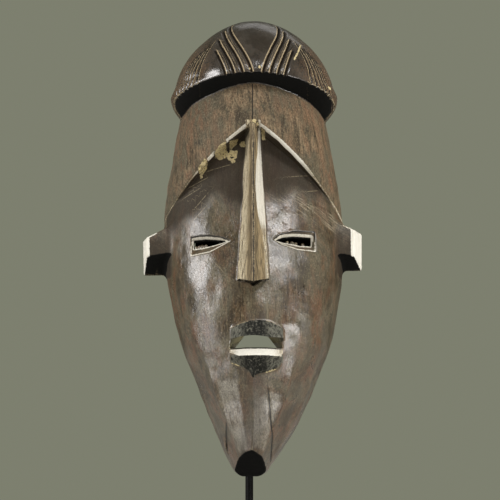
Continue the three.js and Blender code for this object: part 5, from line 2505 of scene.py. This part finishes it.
@dataclass(frozen=True)
class Stand:
    """The display stand: a foot plate, an upright rod, and a bent cradle with a cross bar and felt pads."""

    steel: BlackSteel = BlackSteel()
    felt: BlackFelt = BlackFelt()
    sides: int = 32
    cradle_x: float = 2.7
    cradle_diameter: float = 5.0
    arm: tuple[Triple, ...] = (
        (30, 18, 250), (33, 14, 215), (34, 11, 175), (34, 5, 135), (32, -3, 106), (25, -5, 88),
    )
    bar: Triple = (12, -5, 84)
    steps: int = 160
    weld: float = 2.2
    weld_reach: float = 3.2
    pad_rounding: float = 1.4
    edge: float = 0.8
    foot_edge: float = 1.5

    def build(self, origin: Vector) -> None:
        """Makes the stand's six pieces.

        Args:
            origin: where the mask's own axes start, in metres.
        """
        steel, felt = self.steel.material(), self.felt.material()
        path = self.cradle_path(origin)
        radii = np.full(len(path), self.cradle_diameter / 2 * MM)
        steel_meshes = {
            "foot": self.plate("foot", self.foot_edge),
            "rod": self.rod(),
            "cradle": swept("cradle", path, radii, self.sides),
            "cross_bar": self.plate("cross_bar", self.edge),
        }
        for node, mesh in steel_meshes.items():
            add_piece(f"steel_{node}", mesh, steel, node)
        for node, end, before in (("pad_left", 0, 1), ("pad_right", -1, -2)):
            pad = self.pad(node, path[end], path[end] - path[before])
            add_piece(f"felt_{node}", pad, felt, node)

    def cradle_path(self, origin: Vector) -> Array:
        """The cradle's middle line: up one arm's end, down, across behind the mouth and up the other arm.

        Args:
            origin: where the mask's own axes start, in metres.

        Returns:
            Rows of x, y, z in metres.
        """
        left = [(self.cradle_x - x, f, h) for x, f, h in (*self.arm, self.bar)]
        right = [(self.cradle_x + x, f, h) for x, f, h in (self.bar, *reversed(self.arm))]
        rows = spline(left + right, self.steps)
        return np.array(origin) + np.stack([rows[:, 0], -rows[:, 1], rows[:, 2]], 1) * MM

    def rod(self) -> Mesh:
        """The upright rod, with a weld bead where it enters the foot and one under the cradle.

        Returns:
            The closed mesh.
        """
        low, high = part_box("rod")
        foot_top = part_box("foot")[1].z
        middle = (low + high) / 2
        heights = np.unique(np.concatenate([
            np.linspace(low.z, high.z, 40), foot_top + np.linspace(0, self.weld_reach, 9) * MM,
            high.z - np.linspace(0, self.weld_reach, 9) * MM,
        ]))
        beside = np.minimum(np.abs(heights - foot_top), np.abs(heights - high.z)) / MM
        bead = self.weld * np.clip(1 - beside / self.weld_reach, 0, 1) ** 1.6
        radii = (high.x - low.x) / 2 + bead * MM * (heights > foot_top - 0.1 * MM)
        path = np.stack([np.full(len(heights), middle.x), np.full(len(heights), middle.y), heights], 1)
        return swept("rod", path, radii, self.sides)

    def plate(self, node: str, edge: float) -> Mesh:
        """A flat plate in a CAD node's box, with rounded edges of that radius in millimetres.

        Args:
            node: the CAD node's name.
            edge: the edges' radius in millimetres.

        Returns:
            The closed mesh.
        """
        low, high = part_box(node)
        shape = bmesh.new()
        bmesh.ops.create_cube(shape, size=1)
        for vertex in shape.verts:
            vertex.co = Vector([low[i] + (vertex.co[i] + 0.5) * (high[i] - low[i]) for i in range(3)])
        bmesh.ops.bevel(shape, geom=shape.edges[:], offset=edge * MM, segments=4, affect="EDGES", profile=0.5)
        mesh = bpy.data.meshes.new(node)
        shape.to_mesh(mesh)
        shape.free()
        return mesh

    def pad(self, node: str, place: Array, away: Array) -> Mesh:
        """A round felt pad on an arm's end, with soft edges.

        Args:
            node: the CAD node that it replaces.
            place: the arm's end, in metres.
            away: the direction in which the arm points there.

        Returns:
            The closed mesh.
        """
        low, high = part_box(node)
        ahead = away / np.linalg.norm(away)
        middle = np.array((low + high) / 2)
        thick = 2 * (middle - place) @ ahead
        wide = (high.x - low.x) / 2
        soft = self.pad_rounding * MM
        angles = np.linspace(0, np.pi / 2, 7)
        start = np.stack([soft * (1 - np.cos(angles)), wide - soft + soft * np.sin(angles)], 1)
        end = [thick, 0] + [-1, 1] * start[::-1]
        profile = np.concatenate([[[0, wide / 2]], start, end, [[thick, wide / 2]]])
        path = middle + (profile[:, :1] - thick / 2) * ahead
        side = np.cross(ahead, (0, 1, 0))
        side /= np.linalg.norm(side)
        turn = np.linspace(0, 2 * np.pi, self.sides, endpoint=False)[:, None]
        circle = np.cos(turn) * side + np.sin(turn) * np.cross(ahead, side)
        return lofted(node, [spot + radius * circle for spot, radius in zip(path, profile[:, 1])])


def main() -> None:
    """Builds the studio, the mask and the stand, in that order."""
    logging.basicConfig(level=logging.INFO, format="%(name)s %(message)s")
    mask = Mask()
    Studio().build()
    mask.build()
    Stand().build(mask.origin())


if __name__ == "__main__":
    main()
